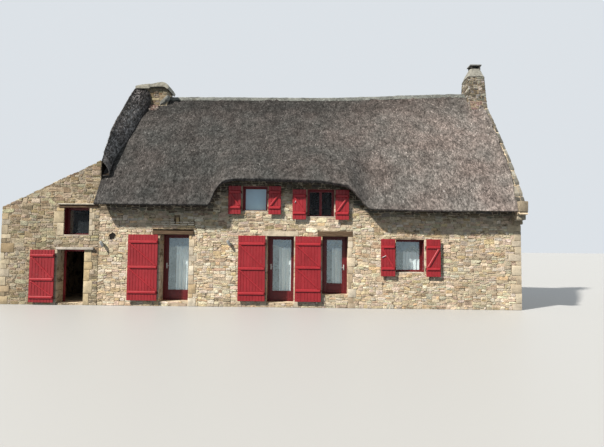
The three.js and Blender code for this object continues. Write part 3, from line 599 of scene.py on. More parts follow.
def timber_material():
    n = Nodes("aged_timber", roughness=0.85, specular=0.2)
    grain = n.cloud(0.02, 5, 0.65, (0.12, 1, 1))
    colour = n.ramp(
        grain, (0.3, (0.035, 0.022, 0.013)), (0.5, (0.1, 0.063, 0.036)), (0.7, (0.18, 0.12, 0.074)),
    )
    colour = n.mix(colour, n.tint(), 0.25)
    return n.finish(colour, n.bump(grain, 0.006))


def paint_material(name, deep, bright, roughness):
    n = Nodes(name, roughness=roughness, specular=0.4)
    colour = n.ramp(n.cloud(0.5, 5, 0.6), (0.3, deep), (0.7, bright))
    colour = n.times(colour, 0.03, 4, 0.6, (0.3, 0.86), (0.6, 1.06), stretch=(1, 1, 0.1))
    colour = n.mix(n.tint(), colour, 1.0, "MULTIPLY")
    dust = (0.42, 0.22, 0.2)
    colour = n.patch(colour, dust, 0.18, 0.12, 6, 0.75, 0.58, 0.8)
    dull = n.ramp(n.cloud(0.1, 5, 0.7), (0.35, roughness - 0.08), (0.7, roughness + 0.15))
    return n.finish(colour, n.bump(n.cloud(0.02, 4, 0.6, (1, 1, 0.12)), 0.0015), dull)


def iron_material():
    n = Nodes("rusty_iron", roughness=0.7, metallic=0.4)
    colour = n.ramp(n.cloud(0.03, 5, 0.7), (0.35, (0.025, 0.023, 0.022)), (0.65, (0.12, 0.065, 0.04)))
    return n.finish(colour, n.bump(n.cloud(0.01, 4, 0.7), 0.001))


def metal_material():
    n = Nodes("grey_metal", roughness=0.45, metallic=0.5)
    colour = n.ramp(n.cloud(0.05, 5, 0.7), (0.35, (0.26, 0.27, 0.27)), (0.65, (0.42, 0.43, 0.42)))
    return n.finish(n.mix(n.tint(), colour, 0.5), n.bump(n.cloud(0.02, 4, 0.7), 0.0006))


def glass_material(name, colour, alpha, metallic=0.0):
    n = Nodes(name, roughness=0.03, metallic=metallic, specular=0.9)
    n.shader.inputs["Alpha"].default_value = alpha
    ripple = n.ramp(n.cloud(0.6, 2, 0.5), (0.3, tuple(0.8 * c for c in colour)), (0.7, colour))
    return n.finish(ripple, n.bump(n.cloud(0.35, 2, 0.5), 0.004))


def net_material(name, dye):
    n = Nodes(name, roughness=0.9, specular=0.1)
    n.shader.inputs["Sheen Weight"].default_value = 0.2
    colour = n.times(dye, 0.006, 2, 0.6, (0.3, 0.82), (0.6, 1.05))
    colour = n.times(colour, 0.12, 4, 0.6, (0.3, 0.88), (0.6, 1.04), stretch=(1, 1, 0.3))
    return n.finish(colour, n.bump(n.cloud(0.006, 2, 0.6), 0.001))


def slate_material():
    n = Nodes("roof_slate", roughness=0.6, specular=0.4)
    colour = n.times(n.tint(), 0.15, 6, 0.7, (0.3, 0.7), (0.7, 1.3))
    lichen = (0.4, 0.38, 0.28)
    colour = n.patch(colour, lichen, 0.5, 0.09, 6, 0.75, 0.62, 0.68)
    return n.finish(colour, n.bump(n.cloud(0.04, 6, 0.7), 0.003))


STONE = stone_material()
LIME = mortar_material("lime_mortar", (0.42, 0.33, 0.22), (0.54, 0.44, 0.31), (0.62, 0.53, 0.4))
ANNEX_LIME = mortar_material("annex_mortar", (0.34, 0.27, 0.18), (0.45, 0.37, 0.26), (0.53, 0.45, 0.33))
AGED_LIME = mortar_material("aged_mortar", (0.18, 0.14, 0.09), (0.27, 0.22, 0.15), (0.36, 0.31, 0.23))
BLOCK = block_material()
THATCH = thatch_material()
CEMENT = cement_material()
TIMBER = timber_material()
SHUTTER_RED = paint_material("shutter_paint", (0.25, 0.013, 0.018), (0.32, 0.02, 0.027), 0.42)
FRAME_RED = paint_material("frame_paint", (0.17, 0.012, 0.018), (0.24, 0.018, 0.026), 0.38)
IRON = iron_material()
METAL = metal_material()
GLASS = glass_material("window_glass", (0.2, 0.24, 0.27), 0.06)
# Painted reflection: an almost opaque pale blue stands for the sky mirrored in the upper west window
PAINTED_SKY_GLASS = glass_material("painted_sky_glass", (0.52, 0.82, 1.0), 0.9)
HALF_MIRROR = glass_material("reflecting_glass", (0.6, 0.73, 0.78), 0.2, 1.0)
NET = net_material("cotton_net", (0.86, 0.96, 0.97))
SLATE = slate_material()

WARM_STONES = (
    (0.61, 0.51, 0.37), (0.58, 0.47, 0.32), (0.64, 0.55, 0.41), (0.57, 0.43, 0.26), (0.54, 0.44, 0.31),
    (0.6, 0.52, 0.4), (0.51, 0.41, 0.29), (0.66, 0.58, 0.45), (0.43, 0.33, 0.22), (0.58, 0.48, 0.34),
)
GREY_STONES = (
    (0.42, 0.35, 0.25), (0.36, 0.28, 0.18), (0.46, 0.39, 0.27), (0.27, 0.22, 0.16),
    (0.39, 0.34, 0.26), (0.5, 0.42, 0.29), (0.31, 0.22, 0.13), (0.22, 0.19, 0.14),
)
ANNEX_STONES = (
    (0.46, 0.38, 0.26), (0.39, 0.3, 0.19), (0.5, 0.42, 0.29), (0.29, 0.23, 0.15), (0.42, 0.36, 0.27),
    (0.52, 0.44, 0.31), (0.36, 0.27, 0.16), (0.47, 0.37, 0.23),
)
CHIMNEY_STONES = (
    (0.17, 0.158, 0.135), (0.24, 0.225, 0.195), (0.09, 0.08, 0.064), (0.32, 0.305, 0.265),
    (0.13, 0.112, 0.086),
)
PINK_BRICKS = ((0.23, 0.15, 0.125), (0.27, 0.19, 0.16), (0.2, 0.13, 0.11), (0.26, 0.215, 0.185))


# Rubble walls


def split_cells(rect, size, rng):
    """Cuts a rectangle into random rectangles of about the size of a stone, in loose courses."""
    u0, v0, u1, v1 = rect
    stack = []
    v = v0
    while v < v1 - 1e-6:
        top = v + size[1] * rng.uniform(2.2, 4.2)
        top = v1 if top > v1 - 1.2 * size[1] else top
        u = u0
        while u < u1 - 1e-6:
            end = u + size[0] * rng.uniform(2.0, 4.5)
            end = u1 if end > u1 - 1.2 * size[0] else end
            stack.append((u, v, end, top))
            u = end
        v = top
    cells = []
    while stack:
        a, b, c, d = stack.pop()
        wide = size[0] * rng.uniform(0.55, 2.0)
        tall = size[1] * rng.uniform(0.55, 1.7)
        if c - a <= wide and d - b <= tall:
            cells.append((a, b, c, d))
        elif (c - a) / wide > (d - b) / tall:
            cut = a + (c - a) * rng.uniform(0.36, 0.64)
            stack += [(a, b, cut, d), (cut, b, c, d)]
        else:
            cut = b + (d - b) * rng.uniform(0.36, 0.64)
            stack += [(a, b, c, cut), (a, cut, c, d)]
    return cells


def trim_cells(cells, gaps, least=0.04):
    """Leaves of each cell the largest rectangle that is clear of every gap."""
    kept = []
    for cell in cells:
        for g0, h0, g1, h1 in gaps:
            a, b, c, d = cell
            if a >= g1 or c <= g0 or b >= h1 or d <= h0:
                continue
            rest = [
                (a, b, min(c, g0), d), (max(a, g1), b, c, d), (a, b, c, min(d, h0)), (a, max(b, h1), c, d),
            ]
            cell = max(rest, key=lambda r: max(r[2] - r[0], 0) * max(r[3] - r[1], 0))
        if cell[2] - cell[0] > least and cell[3] - cell[1] > least:
            kept.append(cell)
    return np.array(kept)


def away_from(gaps, u, v, reach):
    """0 at a gap's edge, rising to 1 at reach from every gap."""
    free = np.full(u.shape, reach)
    for g0, h0, g1, h1 in gaps:
        du = np.maximum(np.maximum(g0 - u, u - g1), 0)
        dv = np.maximum(np.maximum(h0 - v, v - h1), 0)
        free = np.minimum(free, np.hypot(du, dv))
    return smooth(free / reach)


def rubble(
    shape, place, rect, seed, size=(0.25, 0.115), gaps=(), top=None, sides=None, palette=WARM_STONES,
    joint=0.007, dark=1.0, painted_eave_shade=None, fine=True,
):
    """Rounded stones over a wall face. place(u, v, w) gives the point w in front of the face."""
    rng = np.random.default_rng(seed)
    cells = trim_cells(split_cells(rect, size, rng), gaps)
    if top is not None:
        cells = cells[cells[:, 1] < top((cells[:, 0] + cells[:, 2]) / 2) - 0.05]
    count = len(cells)
    a, b, c, d = cells.T
    wide, tall = c - a, d - b
    half = np.minimum(joint * rng.uniform(0.5, 1.3, count) / 2, 0.2 * np.minimum(wide, tall))
    # Each corner is cut off by its own amount: most a little, some a lot
    share = rng.uniform(0.04, 1.0, (2, 4, count)) ** 2 * np.array([0.4, 0.55])[:, None, None]
    cut_u = np.minimum(wide * share[0], 0.09)
    cut_v = np.minimum(tall * share[1], 0.06)
    lean = rng.uniform(-0.08, 0.08, (4, count)) * np.minimum(wide, tall)
    u0, u1, v0, v1 = a + half, c - half, b + half, d - half
    middle_u = (u0 + u1) / 2 + rng.uniform(-0.15, 0.15, count) * wide
    bulge = rng.uniform(-0.08, 0.06, (2, count)) * tall
    u = np.stack([
        u0 + cut_u[0], middle_u, u1 - cut_u[1], u1, u1, u1 - cut_u[2], middle_u, u0 + cut_u[3], u0, u0,
    ], axis=1)
    low, high = v0 - bulge[0], v1 + bulge[1]
    v = np.stack([
        v0, low, v0, v0 + cut_v[1], v1 - cut_v[2], v1, high, v1, v1 - cut_v[3], v0 + cut_v[0],
    ], axis=1)
    # Each corner is pushed a little inwards or left as it is
    push = np.abs(lean[[0, 0, 1, 1, 2, 2, 2, 3, 3, 0]].T) * np.array([1, 0, 1, 0.6, 0.6, 1, 0, 1, 0.6, 0.6])
    cu, cv = u.mean(axis=1, keepdims=True), v.mean(axis=1, keepdims=True)
    far = np.maximum(np.hypot(u - cu, v - cv), 1e-6)
    u, v = u - (u - cu) / far * push, v - (v - cv) / far * push
    # The courses wander, except beside the openings and at the wall's ends
    calm = away_from(gaps, u, v, 0.2)
    calm *= smooth((u - rect[0]) / 0.15) * smooth((rect[2] - u) / 0.15) * smooth((v - rect[1]) / 0.15)
    flat = np.stack([u.ravel(), v.ravel(), np.full(u.size, seed * 0.37)], axis=1)
    u = u + (0.03 * noise(flat, 0.6, 11) + 0.022 * noise(flat, 0.2, 12)).reshape(u.shape) * calm
    v = v + (0.05 * noise(flat, 0.75, 13) + 0.024 * noise(flat, 0.24, 14)).reshape(v.shape) * calm
    v = np.maximum(v, rect[1] + 0.001)
    if top is not None:
        v = np.minimum(v, top(u) - 0.004)
    if sides is not None:
        left, right = sides(v)
        u = np.clip(u, left + 0.003, right - 0.003)
    cu, cv = u.mean(axis=1, keepdims=True), v.mean(axis=1, keepdims=True)
    radius = np.maximum(np.hypot(u - cu, v - cv).mean(axis=1, keepdims=True), 0.01)
    face = -rng.uniform(0.0005, MORTAR * 0.85, (count, 1))
    tilt_u, tilt_v = rng.normal(0, 0.035, (2, count, 1))
    bevel = np.minimum(0.007, 0.15 * radius) / radius
    rings = [(1.0, -MORTAR - 0.008), (1.0, -0.006), (1 - bevel, -0.001), (1 - 3 * bevel, 0.0)]
    if not fine:
        rings = [(1.0, -MORTAR - 0.008), (1.0, -0.005), (1 - 2 * bevel, 0.0)]
    points = []
    for scale, w in rings:
        ru, rv = cu + (u - cu) * scale, cv + (v - cv) * scale
        out = face + w + (ru - cu) * tilt_u + (rv - cv) * tilt_v if w > -MORTAR else np.full(u.shape, w)
        points.append((ru, rv, np.minimum(out, -0.0004)))
    points.append((cu, cv, np.minimum(face + rng.uniform(-0.003, 0.004, (count, 1)), -0.0004)))
    ru, rv, rw = (np.concatenate([p[k] for p in points], axis=1) for k in range(3))
    flat = np.stack([ru.ravel(), rv.ravel(), rw.ravel()], axis=1)
    bumps = (noise(flat, 0.07, seed + 1) * 0.004).reshape(rw.shape)
    rw = np.minimum(np.where(rw > -MORTAR, rw + bumps, rw), -0.0003)
    world = place(ru.ravel(), rv.ravel(), rw.ravel())
    each = ru.shape[1]
    corners = STONE_CORNERS
    fan = np.arange(corners)
    quads = grid_faces(len(rings), corners, wrap=True)
    last = corners * (len(rings) - 1)
    fans = np.stack([last + fan, last + (fan + 1) % corners, np.full(corners, last + corners)], axis=1)
    start = (np.arange(count) * each)[:, None, None]
    colours = np.array(palette)[rng.integers(0, len(palette), count)]
    colours = colours * dark * rng.uniform(0.74, 1.2, (count, 1)) * rng.uniform(0.94, 1.06, (count, 3))
    middle = np.stack([cu[:, 0], cv[:, 0], np.full(count, seed * 0.7)], axis=1)
    colours = colours * (1 + 0.14 * noise(middle, 1.3, 15) + 0.1 * noise(middle, 0.4, 16))[:, None]
    # Painted shade: stones within about 0.9 m below the wall top that this argument gives are darkened, to as
    # little as a fifth of their colour, where the eave's shade falls
    if painted_eave_shade is not None:
        colours = colours * (1 - 0.8 * smooth((cv[:, 0] - painted_eave_shade(cu[:, 0]) + 0.9) / 0.45))[:, None]
    tint = np.repeat(colours, each, axis=0)
    shape.add(world, [(quads[None] + start).reshape(-1, 4), (fans[None] + start).reshape(-1, 3)], tint)


def face_place(side, at, middle=0.0):
    """Makes place(u, v, w) for a wall face; at is how far out it stands, or a function of the height."""

    def place(u, v, w):
        out = (at(v) if callable(at) else at) + w
        faces = {
            "front": (middle + u, -out),
            "rear": (middle - u, out),
            "east": (middle + out, u),
            "west": (middle - out, -u),
        }
        return np.stack([*faces[side], v], axis=1)

    return place


def opening_rect(o):
    return (o["west"], o["bottom"], o["east"], o["top"])


def lintel_rect(name):
    door, lintel = DOORS[name], LINTELS[name]
    return (
        door["west"] - lintel["west"], door["top"], door["east"] + lintel["east"],
        door["top"] + LINTEL_HEIGHT,
    )


def jamb_blocks(
    shape, edge, side, z0, z1, depth, rng, palette, wide=(0.1, 0.22), y=FRONT, facing=-1, tall=(0.12, 0.32),
):
    """Dressed blocks beside an opening; side is -1 at its west edge. Returns their rectangles."""
    rects = []
    long = rng.random() < 0.5
    for z, top in steps(z0, z1, *tall, 0.12, rng):
        width = rng.uniform(*wide) * (1.25 if long else 0.8)
        long = not long
        near = edge - side * 0.004
        far = edge + side * width
        tint = np.array(palette[rng.integers(len(palette))]) * rng.uniform(0.8, 1.1)
        y0, y1 = sorted((y, y - facing * depth))
        low = (min(near, far), y0 + (0.001 if facing < 0 else 0), z + 0.004)
        high = (max(near, far), y1 - (0.001 if facing > 0 else 0), top - 0.004)
        rough_block(shape, low, high, rng, tint, 0.009, 0.004)
        rects.append((min(near, far) - 0.004, z, max(near, far) + 0.004, top))
    return rects


def window_jambs(shape, o, rng, palette, wide, y=FRONT, facing=-1):
    rects = [opening_rect(o)]
    for edge, side in ((o["west"], -1), (o["east"], 1)):
        rects += jamb_blocks(
            shape, edge, side, o["bottom"], o["top"], o["set"], rng, palette, wide, y, facing,
        )
    return rects


BLOCK_TINTS = (
    (0.52, 0.44, 0.32), (0.57, 0.49, 0.36), (0.46, 0.38, 0.27), (0.54, 0.44, 0.3), (0.5, 0.43, 0.33),
)
OCHRE_BLOCKS = ((0.56, 0.45, 0.28), (0.52, 0.4, 0.23), (0.6, 0.51, 0.36), (0.5, 0.41, 0.27))


def corner_blocks(shape, x, y, z0, z1, rng, palette):
    """Quoins at an outer corner, long along one wall and then along the other. Returns their rectangles along
    each wall.
    """
    sx, sy = (1 if x > 0 else -1), (1 if y > 0 else -1)
    runs = {"x": [], "y": []}
    along_x = True
    for z, top in steps(z0, z1, 0.13, 0.34, 0.12, rng):
        long, short = rng.uniform(0.28, 0.48), rng.uniform(0.14, 0.24)
        wide, deep = (long, short) if along_x else (short, long)
        xs = sorted((x, x - sx * wide))
        ys = sorted((y, y - sy * deep))
        tint = np.array(palette[rng.integers(len(palette))]) * rng.uniform(0.85, 1.08)
        rough_block(shape, (xs[0], ys[0], z + 0.003), (xs[1], ys[1], top - 0.003), rng, tint, 0.011, 0.004)
        runs["x"].append((xs[0] - 0.004, z, xs[1] + 0.004, top))
        runs["y"].append((ys[0] - 0.004, z, ys[1] + 0.004, top))
        along_x = not along_x
    return runs


def flipped(rects):
    return [(-c, b, -a, d) for a, b, c, d in rects]


def wall_cores():
    """The walls' mortar: each wall node with its outer faces moved a little inwards."""
    names = [n for n in NODES if "wall" in n and "lamp" not in n and "verge" not in n]
    for name in names:
        mesh = NODES[name].data
        points = np.zeros(len(mesh.vertices) * 3)
        mesh.vertices.foreach_get("co", points)
        points = points.reshape(-1, 3)
        loops = np.zeros(len(mesh.loops), int)
        mesh.loops.foreach_get("vertex_index", loops)
        faces = loops.reshape(-1, 3)
        x, y, z = points.T
        verge = (x > 6.6) & (z > 2.7) & (name == "east_gable_wall")
        proud = (y < FRONT - 0.0005) & ~verge
        z[verge & (np.abs(y) > 3.0)] += 0.02
        z[verge & (z > 3.3)] -= 0.05 + eave_sag(np.abs(y[verge & (z > 3.3)])) * 1.15
        points[:, 1] = np.where(~proud & ~verge, np.clip(y, FRONT + MORTAR, BACK - MORTAR), y)
        y[verge] *= 0.995
        west = ANNEX_WEST if name.startswith("annex") else WEST
        points[:, 0] = np.clip(x, west + MORTAR, EAST - MORTAR)
        if name == "annex_front_wall_upper":
            z[z > 3.21] -= 0.05
        shape = Shape()
        pins = proud[faces].any(axis=1)
        shape.add(points, faces[~pins])
        shape.add_faces(faces[pins], mark=1)
        lime = ANNEX_LIME if name.startswith("annex") else LIME
        shape.piece(name + "_core", [lime, IRON], "stone", replaces=(name,))


def main_top(x):
    return thatch_top(x, -FRONT, True) - THATCH_DROP + 0.02


def rear_top(x):
    return thatch_top(x, BACK, False) - THATCH_DROP + 0.02


def wall_details(shape, rng):
    """A stone standing in the niche, a darker stone at its west side and flat slabs over a lintel."""
    # The flat stones are pale, and their colour is raised further as painted light, since they lie in the
    # eave's shade
    ochre, pale = (0.5, 0.36, 0.19), (0.74, 0.66, 0.53)
    low = (NICHE["west"] + 0.055, FRONT + 0.004, NICHE["bottom"] + 0.002)
    rough_block(
        shape, low, (NICHE["east"] - 0.03, FRONT + 0.13, NICHE["top"] - 0.06), rng, ochre, 0.025, 0.01,
    )
    low = (NICHE["west"] + 0.002, FRONT + 0.02, NICHE["bottom"] + 0.002)
    rough_block(
        shape, low, (NICHE["west"] + 0.045, FRONT + 0.13, NICHE["bottom"] + 0.12), rng, (0.3, 0.22, 0.14),
        0.02, 0.008,
    )
    x0, _, x1, z = lintel_rect("door_a")
    z += THIN_LINTEL
    for layer, (proud, least, most) in enumerate(((0.055, 0.045, 0.07), (0.03, 0.035, 0.06))):
        x = x0 - 0.03 + 0.06 * layer
        while x < x1 - 0.06:
            end = min(x + rng.uniform(0.16, 0.4), x1 + 0.02)
            tall = rng.uniform(least, most)
            low = (x + 0.006, FRONT - proud * rng.uniform(0.6, 1.0), z + 0.006 + 0.075 * layer)
            high = (end - 0.006, FRONT + 0.1, low[2] + tall)
            rough_block(shape, low, high, rng, np.array(pale) * rng.uniform(0.8, 1.05), 0.022, 0.009, 0.05)
            x = end
    return [(x0 - 0.03, z, x1 + 0.02, z + 0.14)]


def vent():
    """A hole in the wall between the stones around it, painted near black inside as painted shade."""
    shape = Shape()
    around = 28
    angles = np.linspace(0, 2 * math.pi, around, endpoint=False)
    middle = ((VENT["west"] + VENT["east"]) / 2, (VENT["bottom"] + VENT["top"]) / 2)
    reach = 1 + 0.22 * np.sin(2 * angles + 0.8) + 0.14 * np.sin(5 * angles)
    back = MORTAR + 0.004
    rings = []
    for size, deep in (
        (0.125, 0.001), (0.11, MORTAR - 0.004), (0.03, MORTAR - 0.001), (0.03, back), (0.14, back),
    ):
        x = middle[0] + size * 0.66 * reach * np.cos(angles)
        z = middle[1] + size * reach * np.sin(angles)
        rings.append(np.column_stack([x, np.full(around, FRONT + deep), z]))
    # Painted shade: the hole's sides and back are near black
    shape.add(np.concatenate(rings), grid_faces(len(rings), around, wrap=True), (0.012, 0.01, 0.008))
    ring = np.arange(around)
    shape.add_faces(np.array([ring[::-1] + 2 * around, ring + 3 * around]))
    shape.piece("vent_hole", [BLOCK], "stone")
    clip = Shape()
    x, z = middle[0] + 0.1, middle[1] - 0.13
    for start, end in (
        ((x, z), (x, z + 0.05)), ((x + 0.035, z), (x + 0.035, z + 0.05)), ((x, z), (x + 0.035, z)),
    ):
        rod(
            clip, (start[0], FRONT - 0.006, start[1]), (end[0], FRONT - 0.006, end[1]), 0.006, 10,
            (0.9, 0.9, 0.88),
        )
    clip.piece("vent_clip", [METAL], "grey_metal")


def front_wall():
    rng = np.random.default_rng(21)
    blocks = Shape()
    gaps = [lintel_rect(name) for name in DOORS]
    for name, door in DOORS.items():
        gaps.append(opening_rect(door))
        gaps += jamb_blocks(blocks, door["west"], -1, 0.0, door["top"], DOOR_SET, rng, WARM_STONES)
        gaps += jamb_blocks(blocks, door["east"], 1, 0.0, door["top"], DOOR_SET, rng, WARM_STONES)
    for name in ("window_ground", "window_upper_west", "window_upper_east"):
        gaps += window_jambs(blocks, WINDOWS[name], rng, WARM_STONES, (0.08, 0.2))
    gaps.append(opening_rect(NICHE))
    gaps.append(opening_rect(VENT))
    gaps += wall_details(blocks, rng)
    corner = corner_blocks(blocks, EAST, FRONT, 0.0, 2.75, rng, BLOCK_TINTS)
    gaps += corner["x"]
    blocks.piece("front_dressed_stones", [BLOCK], "slab_stone", rounded=True)
    stones = Shape()
    rubble(
        stones, face_place("front", -FRONT), (WEST + 0.002, 0.0, EAST - 0.003, 4.15), 31, (0.26, 0.108), gaps,
        main_top, painted_eave_shade=main_top,
    )
    stones.piece("front_rubble", [STONE], "stone")
    return corner["y"]


def east_gable(corner):
    rng = np.random.default_rng(22)
    blocks = Shape()
    back = corner_blocks(blocks, EAST, BACK, 0.0, 2.75, rng, BLOCK_TINTS)
    stones = Shape()
    gaps = corner + back["y"]

    def top(u):
        return thatch_top(EAST, np.abs(u), False) - 0.1 - eave_sag(np.abs(u))

    rubble(
        stones, face_place("east", EAST), (FRONT + 0.003, 0.0, BACK - 0.003, 7.4), 32, (0.36, 0.18), gaps,
        top, fine=False,
    )
    stones.piece("east_gable_rubble", [STONE], "stone")
    blocks.piece("east_gable_quoins", [BLOCK], "slab_stone", rounded=True)
    return back["x"]


def rear_wall(corner):
    stones = Shape()
    rng = np.random.default_rng(23)
    blocks = Shape()
    gaps = list(corner)
    for o in REAR_WINDOWS.values():
        gaps += window_jambs(blocks, o, rng, BLOCK_TINTS, (0.1, 0.2), BACK, 1)
    blocks.piece("rear_dressed_stones", [BLOCK], "slab_stone", rounded=True)
    rect = (-EAST + 0.003, 0.0, -WEST - 0.002, 3.5)
    rubble(
        stones, face_place("rear", BACK), rect, 33, (0.36, 0.18), flipped(gaps), lambda u: rear_top(-u),
        fine=False,
    )
    stones.piece("rear_rubble", [STONE], "stone")


def west_gable():
    stones = Shape()

    def top(u):
        return thatch_top(WEST, np.abs(u), False) - THATCH_DROP + 0.01

    lean_to = annex_top(WEST) - ANNEX_ROOF["below"] - 0.02
    rubble(
        stones, face_place("west", -WEST), (FRONT + 0.003, lean_to, BACK - 0.003, 7.6), 34, (0.28, 0.14), (),
        top, fine=False,
    )
    stones.piece("west_gable_rubble", [STONE], "stone")


def annex_walls():
    rng = np.random.default_rng(24)
    blocks = Shape()
    slab, o = ANNEX_SLAB, WINDOWS["window_annex"]
    gaps = [opening_rect(hole) for hole in (ANNEX_DOOR, o, slab, ANNEX_LINTEL)]
    gaps += jamb_blocks(
        blocks, ANNEX_DOOR["west"], -1, 0.0, slab["bottom"], DOOR_SET, rng, BLOCK_TINTS, (0.1, 0.18),
    )
    gaps += jamb_blocks(
        blocks, ANNEX_DOOR["east"], 1, 0.0, slab["bottom"], DOOR_SET, rng, OCHRE_BLOCKS, (0.2, 0.3),
        tall=(0.24, 0.45),
    )
    gaps += jamb_blocks(
        blocks, o["west"], -1, o["bottom"], o["top"], o["set"], rng, OCHRE_BLOCKS, (0.22, 0.34),
        tall=(0.26, 0.46),
    )
    gaps += jamb_blocks(blocks, o["east"], 1, o["bottom"], o["top"], o["set"], rng, BLOCK_TINTS, (0.1, 0.18))
    corner = corner_blocks(blocks, ANNEX_WEST, FRONT, 0.0, 3.0, rng, ANNEX_STONES)
    back = corner_blocks(blocks, ANNEX_WEST, BACK, 0.0, 2.9, rng, ANNEX_STONES)
    gaps += corner["x"]
    stones = Shape()
    rect = (ANNEX_WEST + 0.003, 0.0, WEST - 0.004, 4.8)
    size = (0.29, 0.13)
    rubble(
        stones, face_place("front", -FRONT), rect, 35, size, gaps, annex_top, palette=ANNEX_STONES,
        joint=0.011, dark=0.8,
    )
    rect = (FRONT + 0.003, 0.0, BACK - 0.003, annex_under(ANNEX_WEST))
    sides = flipped(corner["y"]) + flipped(back["y"])
    rubble(stones, face_place("west", -ANNEX_WEST), rect, 36, size, sides, palette=ANNEX_STONES, fine=False)

    def rear(u):
        return annex_under(-u)

    rect = (-WEST + 0.003, 0.0, -ANNEX_WEST - 0.003, 4.6)
    rubble(
        stones, face_place("rear", BACK), rect, 37, size, flipped(back["x"]), rear, palette=ANNEX_STONES,
        fine=False,
    )
    stones.piece("annex_rubble", [STONE], "stone")
    blocks.piece("annex_dressed_stones", [BLOCK], "slab_stone", rounded=True)


def coping():
    """Rough stones along the annex's sloping wall top and up the east verge."""
    rng = np.random.default_rng(25)
    shape = Shape()
    slope = math.atan2(ANNEX_TOP[1] - ANNEX_TOP[0], WEST - ANNEX_WEST)
    length = math.hypot(ANNEX_TOP[1] - ANNEX_TOP[0], WEST - ANNEX_WEST)
    for s, end in steps(0.0, length, 0.16, 0.42, 0, rng):
        thick = rng.uniform(0.07, 0.12)
        for y, far in steps(FRONT, FRONT + WALL, 0.2, 0.4, 0.1, rng):
            tint = np.array(GREY_STONES[rng.integers(8)]) * rng.uniform(0.45, 0.85)
            drop = rng.uniform(0.0, 0.015)

            def turn(p):
                along, up = p[:, 0].copy(), p[:, 2].copy()
                x = ANNEX_WEST + along * math.cos(slope) - up * math.sin(slope)
                z = ANNEX_TOP[0] + along * math.sin(slope) + up * math.cos(slope)
                return np.stack([np.maximum(x, ANNEX_WEST), p[:, 1], z], axis=1)

            low, high = (s + 0.003, y + 0.001, -thick), (end - 0.003, far - 0.004, -drop)
            rough_block(shape, low, high, rng, tint, 0.03, 0.01, turn=turn)
    shape.piece("annex_coping", [STONE], "stone", rounded=True)

    shape = Shape()
    for side in (-1, 1):
        for d, end in steps(0.62, EAVE_REACH, 0.1, 0.24, 0.08, rng):
            mossy = rng.uniform(0.2, 0.7) if rng.random() < 0.85 else 0.95
            tint = (np.array(GREY_STONES[rng.integers(8)]) * 0.4 + np.array((0.2, 0.2, 0.18))) * mossy
            top = rng.uniform(-0.03, 0.0)
            top -= eave_sag((d + end) / 2)

            def turn(p):
                away, up = p[:, 1].copy(), p[:, 2].copy()
                z = thatch_top(EAST, away, False) + VERGE_RAISE + up
                return np.stack([p[:, 0], side * away, z], axis=1)

            split = EAST - rng.uniform(0.1, 0.17)
            for x0, x1, lower in ((EAST - VERGE_STONE, split, rng.uniform(0.0, 0.03)), (split, EAST, 0.0)):
                low, high = (x0 + 0.002, d + 0.003, -0.5), (x1, end - 0.003, top - lower)
                rough_block(shape, low, high, rng, tint * rng.uniform(0.7, 1.2), 0.025, 0.012, turn=turn)
        # The kneeler under each eave
        for z0, z1, reach in ((3.14, 3.5, 0.53), (2.9, 3.13, 0.36), (2.76, 2.89, 0.16)):
            ys = sorted((side * 3.0, side * (3.1 + reach)))
            tint = np.array(BLOCK_TINTS[rng.integers(5)]) * rng.uniform(0.5, 0.7)
            rough_block(shape, (EAST - VERGE_STONE, ys[0], z0), (EAST, ys[1], z1), rng, tint, 0.03, 0.008)
    shape.piece("east_verge_stones", [STONE], "stone", rounded=True)


# Lintels


def timber_beam(shape, x0, x1, y0, y1, z0, z1, rng):
    rough_block(shape, (x0, y0, z0), (x1, y1, z1), rng, (0.13, 0.088, 0.055), 0.009, 0.004, 0.07)


def lintels():
    rng = np.random.default_rng(26)
    beams, slabs = Shape(), Shape()
    for name, lintel in LINTELS.items():
        x0, z0, x1, z1 = lintel_rect(name)
        y0 = FRONT - lintel["out"]
        if lintel["kind"] == "timber":
            z1 = z0 + THIN_LINTEL if name == "door_a" else z1
            timber_beam(beams, x0, x1, y0, FRONT + WALL, z0, z1, rng)
        else:
            rough_block(
                slabs, (x0, y0 + 0.001, z0), (x1, FRONT + WALL, z1), rng, (0.55, 0.47, 0.35), 0.015, 0.004,
            )
    o = ANNEX_LINTEL
    timber_beam(beams, o["west"], o["east"], FRONT - 0.02, FRONT + WALL, o["bottom"], o["top"] - 0.04, rng)
    rough_block(
        slabs, (o["west"], FRONT - o["out"], o["top"] - 0.045), (o["east"], FRONT + 0.3, o["top"]), rng,
        (0.5, 0.45, 0.36), 0.012, 0.004,
    )
    s = ANNEX_SLAB
    rough_block(
        slabs, (s["west"], FRONT - s["out"], s["bottom"]), (s["east"], FRONT + WALL, s["top"]), rng,
        (0.5, 0.45, 0.38), 0.015, 0.005,
    )
    beams.piece(
        "timber_lintels", [TIMBER], "timber", rounded=True,
        replaces=("lintel_door_a", "lintel_door_c", "lintel_annex_window"),
    )
    slabs.piece(
        "stone_lintels", [BLOCK], "slab_stone", rounded=True, replaces=("lintel_door_b", "lintel_annex_door"),
    )


# Thatch


